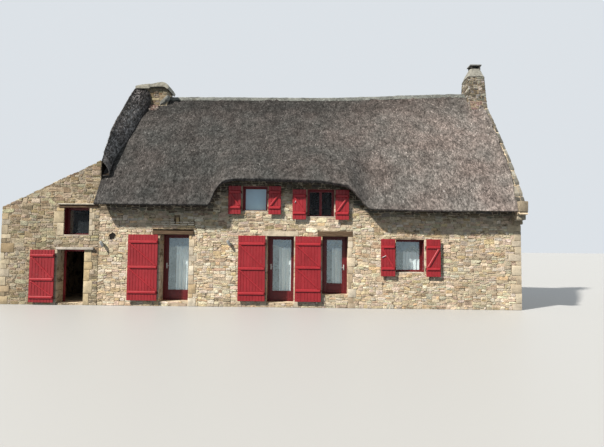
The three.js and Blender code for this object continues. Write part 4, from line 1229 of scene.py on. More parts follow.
def slope_grid(side, brow, columns, rows):
    """Grid of points over one slope: down its top, round the eave and back along its underside."""
    x = np.linspace(THATCH_WEST, THATCH_EAST, columns)
    bend = EAVE_BEND
    top_d = np.linspace(0.0, bend["edge"], rows)
    low = EAVE_REACH - EAVE_UNDERCUT
    under_d = np.concatenate([np.linspace(low, 2.85, 12), np.linspace(2.4, 0.0, 4)])
    profile = []
    for d in top_d:
        profile.append((np.full(columns, d), thatch_top(x, d, brow) - eave_sag(d)))
    foot = thatch_top(x, low, brow) - THATCH_DROP
    edge = profile[-1][1]
    for q in np.linspace(0, 1, 10)[1:-1]:
        profile.append(
            (np.full(columns, bend["edge"] - (bend["edge"] - low) * q**3), edge * (1 - q) + foot * q)
        )
    for d in under_d:
        profile.append((np.full(columns, d), thatch_top(x, d, brow) - THATCH_DROP))
    d = np.array([p[0] for p in profile])
    z = np.array([p[1] for p in profile])
    x = np.broadcast_to(x, d.shape).copy()
    # Over the verge's stones the thatch runs on, nearly to the gable's face
    flat = np.stack([x.ravel(), d.ravel(), z.ravel()], axis=1)
    ragged = noise(flat * (0, 1, 0), 0.3, 45) * 0.045 + noise(flat * (0, 1, 0), 0.09, 46) * 0.03
    bare = 0.12 + ragged.reshape(d.shape) + 0.14 * smooth((d - 2.7) / 0.7)
    on_top = np.arange(len(d))[:, None] < rows - 2
    near_edge = smooth((x - THATCH_EAST + 0.5) / 0.5)
    x += np.where(on_top, near_edge * (EAST - bare - THATCH_EAST), 0)
    z += np.where(on_top, (VERGE_RAISE + 0.035) * smooth((x - THATCH_EAST + 0.12) / 0.12), 0)
    z[: rows - 2, -1] -= 0.09
    x[: rows - 2, -1] = x[: rows - 2, -2] + 0.012
    return np.stack([x, side * np.abs(d), z], axis=2)


def thatch_tint(points):
    """Weathering: darker and mossier up the slope and to the west, paler to the east."""
    x, z = points[:, 0], points[:, 2]
    base = np.array([0.054, 0.052, 0.051])
    pale = np.array([0.16, 0.141, 0.133])
    east = smooth((x + 1.5) / 7.5)[:, None] * 0.85
    colour = base * (1 - east) + pale * east
    patches = noise(points, 0.9, 41) * 0.14 + noise(points, 0.25, 42) * 0.14 + noise(points, 0.085, 44) * 0.11
    moss = smooth((z - 6.8 + 0.45 * noise(points, 0.6, 43)) / 0.9)
    colour = colour * (1 + patches[:, None]) * (1 - 0.38 * moss[:, None])
    paler = 1 + 0.25 * smooth((4.7 - z) / 0.9)[:, None] * east
    return colour * paler * np.array([1.0, 0.98, 0.96])


def straws(name, points, normals, rows, count, seed, tint_scale=1.0, length=(0.05, 0.15)):
    """Thin pointed straws that lie down the slope, sampled between the rows of a grid."""
    rng = np.random.default_rng(seed)
    i = rng.integers(rows[0], rows[1] - 1, count)
    j = rng.integers(0, points.shape[1] - 1, count)
    a, b = rng.random((2, count, 1))
    corner = points[i, j] * (1 - a) + points[i, j + 1] * a
    other = points[i + 1, j] * (1 - a) + points[i + 1, j + 1] * a
    root = corner * (1 - b) + other * b
    down = other - corner
    down /= np.linalg.norm(down, axis=1, keepdims=True)
    normal = normals[i, j]
    side = np.cross(down, normal)
    angle = rng.normal(0, 0.22, (count, 1))
    heading = down * np.cos(angle) + side * np.sin(angle)
    across = np.cross(heading, normal)
    reach = rng.uniform(*length, (count, 1))
    wide = rng.uniform(0.005, 0.012, (count, 1))
    lift = rng.uniform(0.0, 0.012, (count, 1))
    corners = np.stack([
        root - across * wide - normal * 0.004,
        root + across * wide - normal * 0.004,
        root + normal * wide * 1.4,
        root + heading * reach + normal * lift,
    ], axis=1)
    faces = np.array([[0, 2, 1], [0, 1, 3], [1, 2, 3], [2, 0, 3]])
    start = (np.arange(count) * 4)[:, None, None]
    shade = np.exp(rng.normal(0.0, 0.46, (count, 1)))
    tint = np.repeat(thatch_tint(root) * shade * tint_scale, 4, axis=0)
    shape = Shape()
    shape.add(corners, (faces[None] + start).reshape(-1, 3), np.clip(tint, 0.008, 0.5))
    shape.piece(name, [THATCH], "thatch")


def ruffle(points, normals, amounts):
    """Moves grid points along their normals by noise of several sizes."""
    flat = points.reshape(-1, 3)
    shift = np.zeros(len(flat))
    for scale, amount, seed in amounts:
        shift += noise(flat, scale, seed) * amount
    return points + normals * shift.reshape(points.shape[:2])[:, :, None]


def thatch_slope(name, node, side, brow, columns, rows, count, seed):
    points = slope_grid(side, brow, columns, rows)
    normals = grid_normals(points) * (1 if side < 0 else -1)
    stretch = np.array([0.085, 0.13, 0.13])
    points[:-6] = ruffle(points, normals, [
        (0.8, 0.018, seed), (np.array([0.16, 0.3, 0.3]), 0.009, seed + 1), (stretch, 0.008, seed + 2),
    ])[:-6]
    points[:, :, 0] = np.clip(points[:, :, 0], THATCH_WEST, EAST - 0.03)
    shape = Shape()
    faces = grid_faces(points.shape[0], points.shape[1])
    if side > 0:
        faces = faces[:, ::-1]
    tint = thatch_tint(points.reshape(-1, 3))
    row = np.repeat(np.arange(points.shape[0]), points.shape[1])
    # Painted light and shade: the cut ends of the reeds at the eave are painted paler as painted light, and
    # the underside is painted darker as painted shade
    painted_edge_light = smooth((row - rows + 4) / 5) * (row < rows + 9)
    under = smooth((row - rows - 8) / 3)
    tint = tint * (1 + 0.3 * painted_edge_light - 0.5 * under)[:, None]
    shape.add(points.reshape(-1, 3), faces, tint)
    ring = np.arange(points.shape[0]) * points.shape[1]
    shape.add_faces(np.array([ring, (ring + points.shape[1] - 1)[::-1]]))
    shape.piece(name, [THATCH], "thatch", replaces=(node,), rounded=True)
    straws(name + "_straws", points, normals, (0, rows - 6), count, seed)


def roll_grid(side, rows=70, around=26):
    """The thatch dressed over the west gable, as rings from the stack down to its end."""
    d = np.linspace(VERGE_ROLL["d"][0], VERGE_ROLL["d"][-1], rows)
    wide, high, out = (np.interp(d, VERGE_ROLL["d"], VERGE_ROLL[key]) for key in ("wide", "high", "out"))
    first, middle, last = np.array(ROLL_SECTIONS, float)
    lengths = np.concatenate([[0], np.cumsum(np.linalg.norm(np.diff(middle * (0.5, 1), axis=0), axis=1))])
    s = np.linspace(0, lengths[-1], around)
    by_stack = (1 - smooth((d - 0.36) / 0.6))[:, None, None]
    by_end = smooth((d - 2.4) / 0.5)[:, None, None]
    sections = first * by_stack + last * by_end + middle * (1 - by_stack - by_end)
    u = np.array([np.interp(s, lengths, section[:, 0]) for section in sections])
    v = np.array([np.interp(s, lengths, section[:, 1]) for section in sections])
    for values in (u, v, u, v):
        values[:, 1:-1] = (values[:, :-2] + 2 * values[:, 1:-1] + values[:, 2:]) / 4
    x = THATCH_WEST + u * np.where(u < 0, out[:, None], wide[:, None])
    z = thatch_top(THATCH_WEST, d, False)[:, None] + v * high[:, None]
    return np.stack([x, np.broadcast_to(side * d[:, None], x.shape), z], axis=2)


def verge_roll(name, side, seed):
    points = roll_grid(side)
    normals = grid_normals(points) * (-1 if side < 0 else 1)
    rough = ruffle(
        points, normals,
        [(0.5, 0.014, seed), (np.array([0.12, 0.3, 0.3]), 0.01, seed + 1), (0.06, 0.006, seed + 2)],
    )
    points[:, 1:-1] = rough[:, 1:-1]
    points[:, :, 0] = np.maximum(points[:, :, 0], THATCH_WEST - 0.11)
    rows, around = points.shape[:2]
    # Painted light and shade: the roll is painted several times paler than the slopes and a little bluer,
    # paler still on its east side, which lies in shade; its east foot is painted dark as painted shade in the
    # crease, and its last rows darken towards the open end as painted shade
    across = np.broadcast_to(np.arange(around) / (around - 1), (rows, around)).ravel()
    shade = 3.7 + 1.3 * smooth((across - 0.4) / 0.2) - 4.2 * smooth((across - 0.93) / 0.06)
    end_shade = 1 - 0.6 * smooth((np.arange(rows) - rows + 7) / 4)
    shade = shade * np.repeat(end_shade, around)
    tint = thatch_tint(points.reshape(-1, 3)) * shade[:, None] * (0.98, 1.0, 1.04)
    end = points[-1]
    centre = end.mean(axis=0)
    hollow = []
    for k, back in ((0.14, 0.0), (0.25, 0.15), (0.9, 0.4)):
        hollow.append(end * (1 - k) + centre * k + np.array([0, -side * back, 0.5 * back]))
    rings = np.concatenate([points, np.array(hollow)])
    # Painted shade: the hollow at the roll's open end is lined with near-black rings
    dark = np.full((3 * around, 3), 0.02) * (1, 0.72, 0.5)
    shape = Shape()
    faces = grid_faces(rows + 3, around, wrap=True)
    if side < 0:
        faces = faces[:, ::-1]
    top = np.arange(around)[None] + (rows + 2) * around
    start = np.arange(around)[None]
    shape.add(rings.reshape(-1, 3), [faces, top, start[:, ::-1]], np.concatenate([tint, dark]))
    shape.piece(name, [THATCH], "thatch", replaces=(name,), rounded=True)
    # Painted light: the roll's straws are painted twice as pale as the slopes' straws
    straws(
        name + "_straws", points[:, 2:-1], normals[:, 2:-1], (0, rows - 4), ROLL_STRAWS, seed, 2.0,
        (0.06, 0.15),
    )


def ridge_cap():
    """A weathered mortar ridge spread over the top of the thatch."""
    stations = np.linspace(WEST_STACK["east"] + 0.002, RIDGE_CAP["east"] - 0.001, 270)
    half, thick, lip = RIDGE_CAP["half"], RIDGE_CAP["thick"], RIDGE_CAP["lip"]
    section = [
        (-1, 0), (-1, 0.5), (-0.8, 0.8), (-0.45, 0.95), (0, 1), (0.45, 0.95), (0.8, 0.8), (1, 0.5), (1, 0),
    ]
    section = np.array(section, float)
    fall = (ridge_height(stations) - thatch_top(stations, 0.5, False)) / 0.5
    top = ridge_height(stations)
    u = section[:, 0][None] * half
    low = top[:, None] - fall[:, None] * np.abs(u)
    z = low + 0.001 + section[:, 1][None] * (lip + (thick - lip) * (1 - np.abs(u) / half))
    x = np.broadcast_to(stations[:, None], z.shape)
    points = np.stack([x, np.broadcast_to(u, z.shape), z], axis=2)
    flat = points.reshape(-1, 3)
    wobble = noise(flat, 0.3, 51) * 0.01 + noise(flat, 0.06, 52) * 0.006 - 0.006
    points[:, 1:-1, 2] += wobble.reshape(z.shape)[:, 1:-1]
    points[:, :, 1] += np.sign(u) * (noise(flat, 0.12, 53) * 0.02).reshape(z.shape)
    shape = Shape()
    ring = points.shape[1]
    tint = np.array([0.135, 0.14, 0.128]) * (
        1 + 0.35 * noise(flat, 0.25, 54) + 0.3 * noise(flat, 0.07, 55)
    )[:, None]
    # Painted shade: the mortar's lowest edges, where it meets the thatch, are darkened to about a third
    tint = tint * (0.35 + 0.65 * (section[:, 1] > 0.1))[None].repeat(len(stations), axis=0).reshape(-1, 1)
    shape.add(flat, [group[:, ::-1] for group in tube_faces(len(stations), ring)], tint)
    shape.piece("ridge_mortar", [CEMENT], "cement", replaces=("ridge_cap",), rounded=True)


# Chimneys


def curve(points, count):
    """Points along a smooth line through the given ones."""
    points = np.asarray(points, float)
    padded = np.concatenate([[2 * points[0] - points[1]], points, [2 * points[-1] - points[-2]]])
    made = []
    for k in range(len(points) - 1):
        p0, p1, p2, p3 = padded[k : k + 4]
        for t in np.linspace(0, 1, count, endpoint=False):
            square, cube = 2 * p0 - 5 * p1 + 4 * p2 - p3, 3 * p1 - p0 - 3 * p2 + p3
            made.append(0.5 * (2 * p1 + (p2 - p0) * t + square * t**2 + cube * t**3))
    return np.array(made + [points[-1]])


def node_core(name, shrink, material, slot):
    """A copy of a node drawn in from all sides, as the body that stones are laid on."""
    mesh = NODES[name].data
    points = np.array([v.co[:] for v in mesh.vertices])
    faces = np.array([p.vertices[:] for p in mesh.polygons])
    middle = (points.min(axis=0) + points.max(axis=0)) / 2
    half = (points.max(axis=0) - points.min(axis=0)) / 2
    points[:, :2] = middle[:2] + (points[:, :2] - middle[:2]) * (1 - shrink / half[:2])
    shape = Shape()
    shape.add(points, faces)
    shape.piece(name + "_core", [material], slot, replaces=(name,))


def west_chimney():
    w = WEST_STACK
    node_core("west_chimney_stack", MORTAR, AGED_LIME, "stone")
    stones = Shape()
    rng = np.random.default_rng(61)
    blocks = Shape()
    gaps = {"front": [], "rear": [], "east": [], "west": []}
    for y, y_side in ((-w["half"], "front"), (w["half"], "rear")):
        for x, x_side in ((w["east"], "east"), (w["west"], "west")):
            flip = rng.random() < 0.5
            for z, top in steps(w["stones_from"], w["top"], 0.14, 0.24, 0.1, rng):
                long, short = rng.uniform(0.26, 0.38), rng.uniform(0.14, 0.2)
                wide, deep = (long, short) if flip else (short, long)
                flip = not flip
                xs = sorted((x, x + (wide if x == w["west"] else -wide)))
                ys = sorted((y, y + (deep if y < 0 else -deep)))
                tint = np.array(GREY_STONES[rng.integers(8)]) * rng.uniform(0.4, 0.85)
                rough_block(
                    blocks, (xs[0], ys[0], z + 0.004), (xs[1], ys[1], top - 0.004), rng, tint, 0.02, 0.006,
                )
                gaps[y_side].append((xs[0] - 0.004, z, xs[1] + 0.004, top))
                gaps[x_side].append((ys[0] - 0.004, z, ys[1] + 0.004, top))
    blocks.piece("west_chimney_corners", [STONE], "stone", rounded=True)
    front = (w["west"] + 0.003, 6.9, w["east"] - 0.003, w["top"] - 0.003)
    rear = (-front[2], front[1], -front[0], front[3])
    end = (-w["half"] + 0.003, w["stones_from"], w["half"] - 0.003, w["top"] - 0.003)
    tone = {"size": (0.22, 0.11), "palette": GREY_STONES}
    rubble(stones, face_place("front", w["half"]), front, 62, gaps=gaps["front"], dark=0.55, **tone)
    rubble(stones, face_place("rear", w["half"]), rear, 63, gaps=flipped(gaps["rear"]), fine=False, **tone)
    rubble(stones, face_place("east", w["east"]), end, 64, gaps=gaps["east"], **tone)
    rubble(stones, face_place("west", -w["west"]), end, 65, gaps=flipped(gaps["west"]), **tone)
    stones.piece("west_chimney_rubble", [STONE], "stone")
    hood()
    # Bricks patch the thatch at the stack's foot
    patch = Shape()
    for row, column in itertools.product(range(3), range(3)):
        d = 0.36 + 0.075 * row
        x = -6.34 + 0.125 * column + 0.03 * (row % 2)
        z = thatch_top(x, d, False)
        tint = np.array(PINK_BRICKS[rng.integers(4)]) * rng.uniform(0.75, 1.15)
        rough_block(
            patch, (x, -d - 0.07, z - 0.12), (x + 0.118, -d, z + 0.012), rng, tint, 0.014, 0.006, 0.04,
        )
    patch.piece("west_chimney_patch", [STONE], "stone", rounded=True)
    fillet()


def fillet():
    """A smooth wedge of mortar where the ridge meets the stack's front corner."""
    line = (
        (-5.95, 7.54), (-5.75, 7.62), (-5.62, 7.78), (-5.6, 7.94), (-5.67, 7.97), (-5.8, 7.84), (-5.97, 7.66),
    )
    outline = curve(line, 5)
    centre = outline.mean(axis=0)
    rings = []
    for scale, y in ((1.0, -0.2), (1.0, -0.3), (0.9, -0.35), (0.7, -0.378), (0.35, -0.39)):
        ring = centre + (outline - centre) * scale
        rings.append(np.column_stack([ring[:, 0], np.full(len(ring), y), ring[:, 1]]))
    flat = np.concatenate(rings)
    flat += noise(flat, 0.06, 75)[:, None] * (0.014, 0.012, 0.014)
    tint = np.array((0.22, 0.22, 0.2)) * (1 + 0.3 * noise(flat, 0.12, 76))[:, None]
    shape = Shape()
    shape.add(flat, tube_faces(len(rings), len(outline)), tint)
    shape.piece("west_chimney_fillet", [CEMENT], "cement", rounded=True)


def hood():
    """The cement hood over the west stack: a thick curved sheet with a drooping east lip."""
    under = curve(HOOD["inner"], 10)
    crest = curve(HOOD["crest"], 14)
    outline = np.concatenate([under, [HOOD["tip"]], crest, HOOD["end"]])
    # Long straight runs get more points, so that the noise can reach them
    dense = []
    for start, end in zip(outline, np.roll(outline, -1, axis=0)):
        count = max(1, int(np.linalg.norm(end - start) / 0.06))
        dense += [start + (end - start) * t for t in np.linspace(0, 1, count, endpoint=False)]
    dense = np.array(dense)
    across = np.linspace(-HOOD["half"], HOOD["half"], 18)
    rings = []
    for y in across:
        edge = max(0.0, abs(y) - HOOD["half"] + 0.05) / 0.05
        z = dense[:, 1] - 0.02 * edge**2 * (dense[:, 1] > 8.3)
        rings.append(np.column_stack([dense[:, 0], np.full(len(dense), y), z]))
    points = np.array(rings)
    flat = points.reshape(-1, 3)
    lift = noise(flat, 0.25, 71) * 0.016 + noise(flat, 0.07, 72) * 0.012 - 0.012
    points[:, :, 2] += (lift * (flat[:, 2] > WEST_STACK["top"] + 0.05)).reshape(points.shape[:2])
    flat = points.reshape(-1, 3)
    shape = Shape()
    tint = np.array([0.34, 0.325, 0.27]) * (1 + 0.3 * noise(flat, 0.2, 73))[:, None]
    shape.add(flat, tube_faces(len(across), len(dense)), tint)
    shape.piece("chimney_hood", [CEMENT], "cement", replaces=("west_chimney_hood",), rounded=True)


def east_half(z):
    heights, halves = zip(*EAST_STACK["half"])
    return np.interp(z, heights, halves)


def east_wide(z):
    heights, halves = zip(*EAST_STACK["wide"])
    return np.interp(z, heights, halves)


def east_chimney():
    middle = EAST_STACK["middle"]
    shape = Shape()
    rings = []
    for z, _ in EAST_STACK["half"]:
        wide, half = east_wide(z) - MORTAR, east_half(z) - MORTAR
        rings += [(middle + a * wide, b * half, z) for a, b in ((-1, -1), (1, -1), (1, 1), (-1, 1))]
    shape.add(rings, tube_faces(len(EAST_STACK["half"]), 4))
    shape.piece("east_chimney_stack_core", [AGED_LIME], "stone", replaces=("east_chimney_stack",))
    stones = Shape()
    rect = (-0.35, 7.0, 0.35, 8.745)

    def narrow(v):
        return -east_wide(v), east_wide(v)

    def deep(v):
        return -east_half(v), east_half(v)

    tone = {"size": (0.24, 0.12), "palette": CHIMNEY_STONES, "joint": 0.014}
    mend = (-0.3, 7.22, 0.16, 7.74)
    rubble(stones, face_place("front", east_half, middle), rect, 81, gaps=(mend,), sides=narrow, **tone)
    rubble(stones, face_place("front", east_half, middle), mend, 89, (0.18, 0.08), palette=PINK_BRICKS)
    rubble(stones, face_place("rear", east_half, middle), rect, 82, sides=narrow, fine=False, **tone)
    rect = (-0.61, 7.0, 0.61, 8.745)
    rubble(stones, face_place("east", east_wide, middle), rect, 83, sides=deep, fine=False, **tone)
    rubble(stones, face_place("west", east_wide, middle), rect, 84, sides=deep, **tone)
    stones.piece("east_chimney_rubble", [STONE], "stone")

    rng = np.random.default_rng(85)
    ledge = Shape()
    half = 0.318
    for x, end in steps(middle - half, middle + half, 0.18, 0.3, 0.1, rng):
        rough_block(
            ledge, (x, -0.368, 8.746), (end - 0.004, 0.368, 8.78), rng, (0.06, 0.055, 0.048), 0.01, 0.004,
        )
    ledge.piece("east_chimney_ledge", [STONE], "stone", rounded=True)
    flaunching = Shape()
    rows = []
    levels, around = 12, 40
    for t in np.linspace(0, 1, levels):
        z = 8.775 + 0.375 * t
        wide = 0.33 + (0.21 - 0.33) * t**1.15
        half = 0.378 + (0.2 - 0.378) * t**1.15
        angles = np.linspace(0, 2 * math.pi, around, endpoint=False)
        power = 0.2 + 0.25 * t
        cx, cy = np.cos(angles), np.sin(angles)
        rows.append(np.column_stack([
            middle + 0.04 * t + wide * np.sign(cx) * np.abs(cx) ** power,
            half * np.sign(cy) * np.abs(cy) ** power,
            np.full(around, z),
        ]))
    flat = np.concatenate(rows)
    push = noise(flat, 0.15, 86) * 0.012 + noise(flat, 0.05, 87) * 0.008 - 0.012
    centre = np.array([middle, 0, 0])
    outward = (flat - centre) * (1, 1, 0)
    outward /= np.maximum(np.linalg.norm(outward, axis=1, keepdims=True), 1e-6)
    flat = flat + outward * push[:, None]
    flaunching.add(flat, tube_faces(levels, around), (0.24, 0.232, 0.2))
    flaunching.piece("east_chimney_flaunching", [CEMENT], "cement", rounded=True)
    cap = Shape()
    centre = middle + 0.06
    rough_block(
        cap, (centre - 0.24, -0.2, 9.285), (centre + 0.24, 0.2, 9.335), rng, (0.24, 0.24, 0.225), 0.012,
        0.006,
    )
    # Painted shade: a near-black block and dark posts under the cap stand for the shaded gap beneath it
    rough_block(
        cap, (centre - 0.16, -0.14, 9.13), (centre + 0.15, 0.14, 9.275), rng, (0.015, 0.014, 0.013), 0.02,
        0.008,
    )
    for sx, sy in itertools.product((-1, 1), repeat=2):
        x, y = centre + sx * 0.155, sy * 0.145
        rough_block(
            cap, (x - 0.03, y - 0.03, 9.12), (x + 0.03, y + 0.03, 9.29), rng, (0.05, 0.045, 0.04), 0.008,
            0.003, 0.03,
        )
    cap.piece("east_chimney_slab", [CEMENT], "slab_stone", replaces=("east_chimney_cap",), rounded=True)


# Joinery


def shutter(name, at, side, wide, bottom, top, ledges):
    """A ledged and braced board leaf, hung on the pins at its hinge edge."""
    rng = np.random.default_rng(len(name) * 7 + int(abs(at) * 100))
    s = SHUTTER
    axis_x, axis_y = at + side * PIN["side"], FRONT - PIN["out"]
    near, far = s["edge"], s["edge"] + wide
    back = axis_y + 0.002
    face = back - s["board"]
    shape = Shape()
    boards = max(4, round(wide / 0.1))
    step = wide / boards

    def from_hinge(*aways):
        return sorted(axis_x + side * away for away in aways)

    for k in range(boards):
        x0, x1 = from_hinge(near + k * step, near + (k + 1) * step)
        tint = np.full(3, rng.uniform(0.86, 0.97))
        bar(shape, x0 + 0.0006, x1 - 0.0006, face, back, bottom, top, 0.007, tint)
    half = s["ledge_wide"] / 2
    l0, l1 = from_hinge(near + s["inset"], far - s["inset"])
    for z in ledges:
        # Painted highlight: the ledges are painted paler than the boards, as if lit
        bar(shape, l0, l1, face - s["ledge"], face + 0.002, z - half, z + half, 0.02, np.full(3, 1.2))
        for k in range(boards):
            for dz in (-0.025, 0.025):
                x = axis_x + side * (near + (k + 0.5) * step)
                rod(
                    shape, (x, face - s["ledge"] - 0.0015, z + dz), (x, face - s["ledge"] + 0.002, z + dz),
                    0.004, 6, (0.6, 0.6, 0.6),
                )
    for low, high in zip(ledges, ledges[1:]):
        z0, z1 = low + half, high - half
        start = axis_x + side * (near + s["inset"])
        end = axis_x + side * (far - s["inset"])
        width = side * s["brace"]
        outline = [(start, z0), (start + width, z0), (end, z1), (end - width, z1)]
        # Painted highlight: the braces are painted paler than the boards
        plate(shape, outline, face - s["ledge"] + 0.001, face + 0.002, 0.016, np.full(3, 1.1))
    shape.piece(name + "_leaf", [SHUTTER_RED], "shutter_red", body=name, replaces=(name,))
    irons = Shape()
    for z in (ledges[0], ledges[-1]):
        s0, s1 = from_hinge(0.004, far * 0.8)
        bar(irons, s0, s1, back - 0.001, back + 0.005, z - 0.02, z + 0.02, 0.0015)
        h0, h1 = from_hinge(0, near + 0.015)
        bar(irons, h0, h1, axis_y - 0.009, back, z - 0.03, z + 0.03, 0.002)
        rod(irons, (axis_x, axis_y, z - 0.03), (axis_x, axis_y, z + 0.03), 0.013, 14)
        rod(irons, (axis_x, axis_y, z + 0.03), (axis_x, axis_y, z + 0.036), 0.009, 10)
    irons.piece(name + "_irons", [IRON], "shutter_red", body=name)


def ring_frame(shape, x0, x1, y0, y1, z0, z1, wide, sill=None, chamfer=0.004, tint=(1, 1, 1)):
    """Two stiles between a head and a foot rail."""
    foot = wide if sill is None else sill
    bar(shape, x0, x1, y0, y1, z1 - wide, z1, chamfer, tint)
    bar(shape, x0, x1, y0, y1, z0, z0 + foot, chamfer, tint)
    bar(shape, x0, x0 + wide, y0 + 0.0005, y1 - 0.0005, z0 + foot - 0.001, z1 - wide + 0.001, chamfer, tint)
    bar(shape, x1 - wide, x1, y0 + 0.0005, y1 - 0.0005, z0 + foot - 0.001, z1 - wide + 0.001, chamfer, tint)


def pane(name, body, x0, x1, y, z0, z1, glass=GLASS):
    shape = Shape()
    columns, rows = 8, 10
    u, v = np.meshgrid(np.linspace(x0, x1, columns), np.linspace(z0, z1, rows))
    flat = np.stack([u.ravel(), np.full(u.size, y), v.ravel()], axis=1)
    flat[:, 1] += noise(flat, 0.5, 91) * 0.0012
    back = flat + (0, 0.005, 0)
    count = len(flat)
    faces = grid_faces(rows, columns)
    end_shade = np.concatenate([
        np.arange(columns), np.arange(1, rows) * columns + columns - 1,
        (rows - 1) * columns + np.arange(columns - 2, -1, -1), np.arange(rows - 2, 0, -1) * columns,
    ])
    edge = np.stack([end_shade, end_shade + count, np.roll(end_shade, -1) + count, np.roll(end_shade, -1)], axis=1)
    shape.add(np.concatenate([flat, back]), [faces, faces[:, ::-1] + count, edge], (0.5, 0.5, 0.5))
    shape.piece(name, [glass], "painted_joinery", body=body, rounded=True)


# Painted shade: the frames and door leaves, set back in the reveals, are painted darker by these factors,
# other windows by 0.75
FRAME_SHADE_TONES = {
    "window_annex": (0.4, 0.36, 0.36), "window_ground": (0.55, 0.5, 0.5), "door": (0.5, 0.45, 0.45),
}


def window(name, o, outer, inward):
    shape = Shape()
    tone = FRAME_SHADE_TONES.get(name, (0.75, 0.7, 0.7))
    y0 = outer + inward * o["set"]
    y1 = y0 + inward * FRAME["thick"]
    y0, y1 = sorted((y0, y1))
    x0, x1, z0, z1 = o["west"], o["east"], o["bottom"], o["top"]
    ring_frame(
        shape, x0 + 0.0005, x1 - 0.0005, y0, y1, z0 + 0.0005, z1 - 0.0005, FRAME["wide"] * 0.6, tint=tone,
    )
    middle = (y0 + y1) / 2
    w = FRAME["wide"]
    lights = [(x0 + w * 0.6, x1 - w * 0.6)]
    if o["mullion"]:
        centre = (x0 + x1) / 2
        lights = [(x0 + w * 0.6, centre - 0.001), (centre + 0.001, x1 - w * 0.6)]
    for a, b in lights:
        foot = 0.065 if name == "window_ground" else None
        ring_frame(shape, a, b, y0 + 0.008, y1 - 0.008, z0 + w * 0.6, z1 - w * 0.6, 0.038, foot, tint=tone)
        leaf = "w" if a == lights[0][0] else "e"
        glass = {"window_upper_west": PAINTED_SKY_GLASS, "window_ground": HALF_MIRROR}.get(name, GLASS)
        pane(f"{name}_glass_{leaf}", "house", a + 0.03, b - 0.03, middle, z0 + w, z1 - w, glass)
    # Thin boards line the jambs and the head in front of the frame
    ys = sorted((outer + inward * 0.05, outer + inward * (o["set"] - 0.0005)))
    for a, b in ((x0 + 0.0005, x0 + 0.013), (x1 - 0.013, x1 - 0.0005)):
        bar(shape, a, b, ys[0], ys[1], z0 + 0.036, z1 - 0.014, 0.002, tone)
    bar(shape, x0 + 0.0005, x1 - 0.0005, ys[0], ys[1], z1 - 0.013, z1 - 0.0005, 0.002, tone)
    shape.piece(name + "_joinery", [FRAME_RED], "painted_joinery", replaces=(name,))
    sill = Shape()
    ys = sorted((outer + inward * 0.01, outer + inward * (o["set"] + 0.004)))
    rough_block(
        sill, (x0 + 0.001, ys[0], z0), (x1 - 0.001, ys[1], z0 + 0.034), np.random.default_rng(5),
        (0.55, 0.48, 0.38), 0.01, 0.002,
    )
    sill.piece(name + "_sill", [BLOCK], "slab_stone", rounded=True)


# How far a curtain's middle hangs behind the joinery
CURTAIN_GAP = 0.032


def curtain(name, body, x0, x1, y, z0, z1, seed):
    """A gathered net curtain on a rod, in soft uneven folds, with a scalloped heading."""
    shape = Shape()
    columns, rows = 90, 40
    u, v = np.meshgrid(np.linspace(0, 1, columns), np.linspace(0, 1, rows))
    width = x1 - x0
    rng = np.random.default_rng(seed)
    folds = width / rng.uniform(0.125, 0.145)
    phase = 2 * math.pi * (folds * (u + 0.02 * np.sin(9 * u + seed)) + 0.08 * np.sin(3 * v + 5 * u))
    depth = 0.02 * (0.6 + 0.4 * v) * (1 + 0.2 * np.sin(2.3 * math.pi * u + seed))
    x = x0 + width * u
    wave = depth * np.sin(phase) + 0.25 * depth * np.sin(2.3 * phase + 1)
    heading = 0.02 + 0.012 * np.sin(phase)
    z = z1 + heading - (z1 + heading - z0) * v
    points = np.stack([x, y + CURTAIN_GAP + wave, z], axis=2)
    shape.add(points.reshape(-1, 3), grid_faces(rows, columns))
    piece = shape.piece(name, [NET], "painted_joinery", body=body, rounded=True)
    rail = Shape()
    rod(rail, (x0 - 0.02, y + CURTAIN_GAP, z1), (x1 + 0.015, y + CURTAIN_GAP, z1), 0.005, 10, (0.7, 0.7, 0.7))
    rail.piece(name + "_rod", [METAL], "grey_metal", body=body)


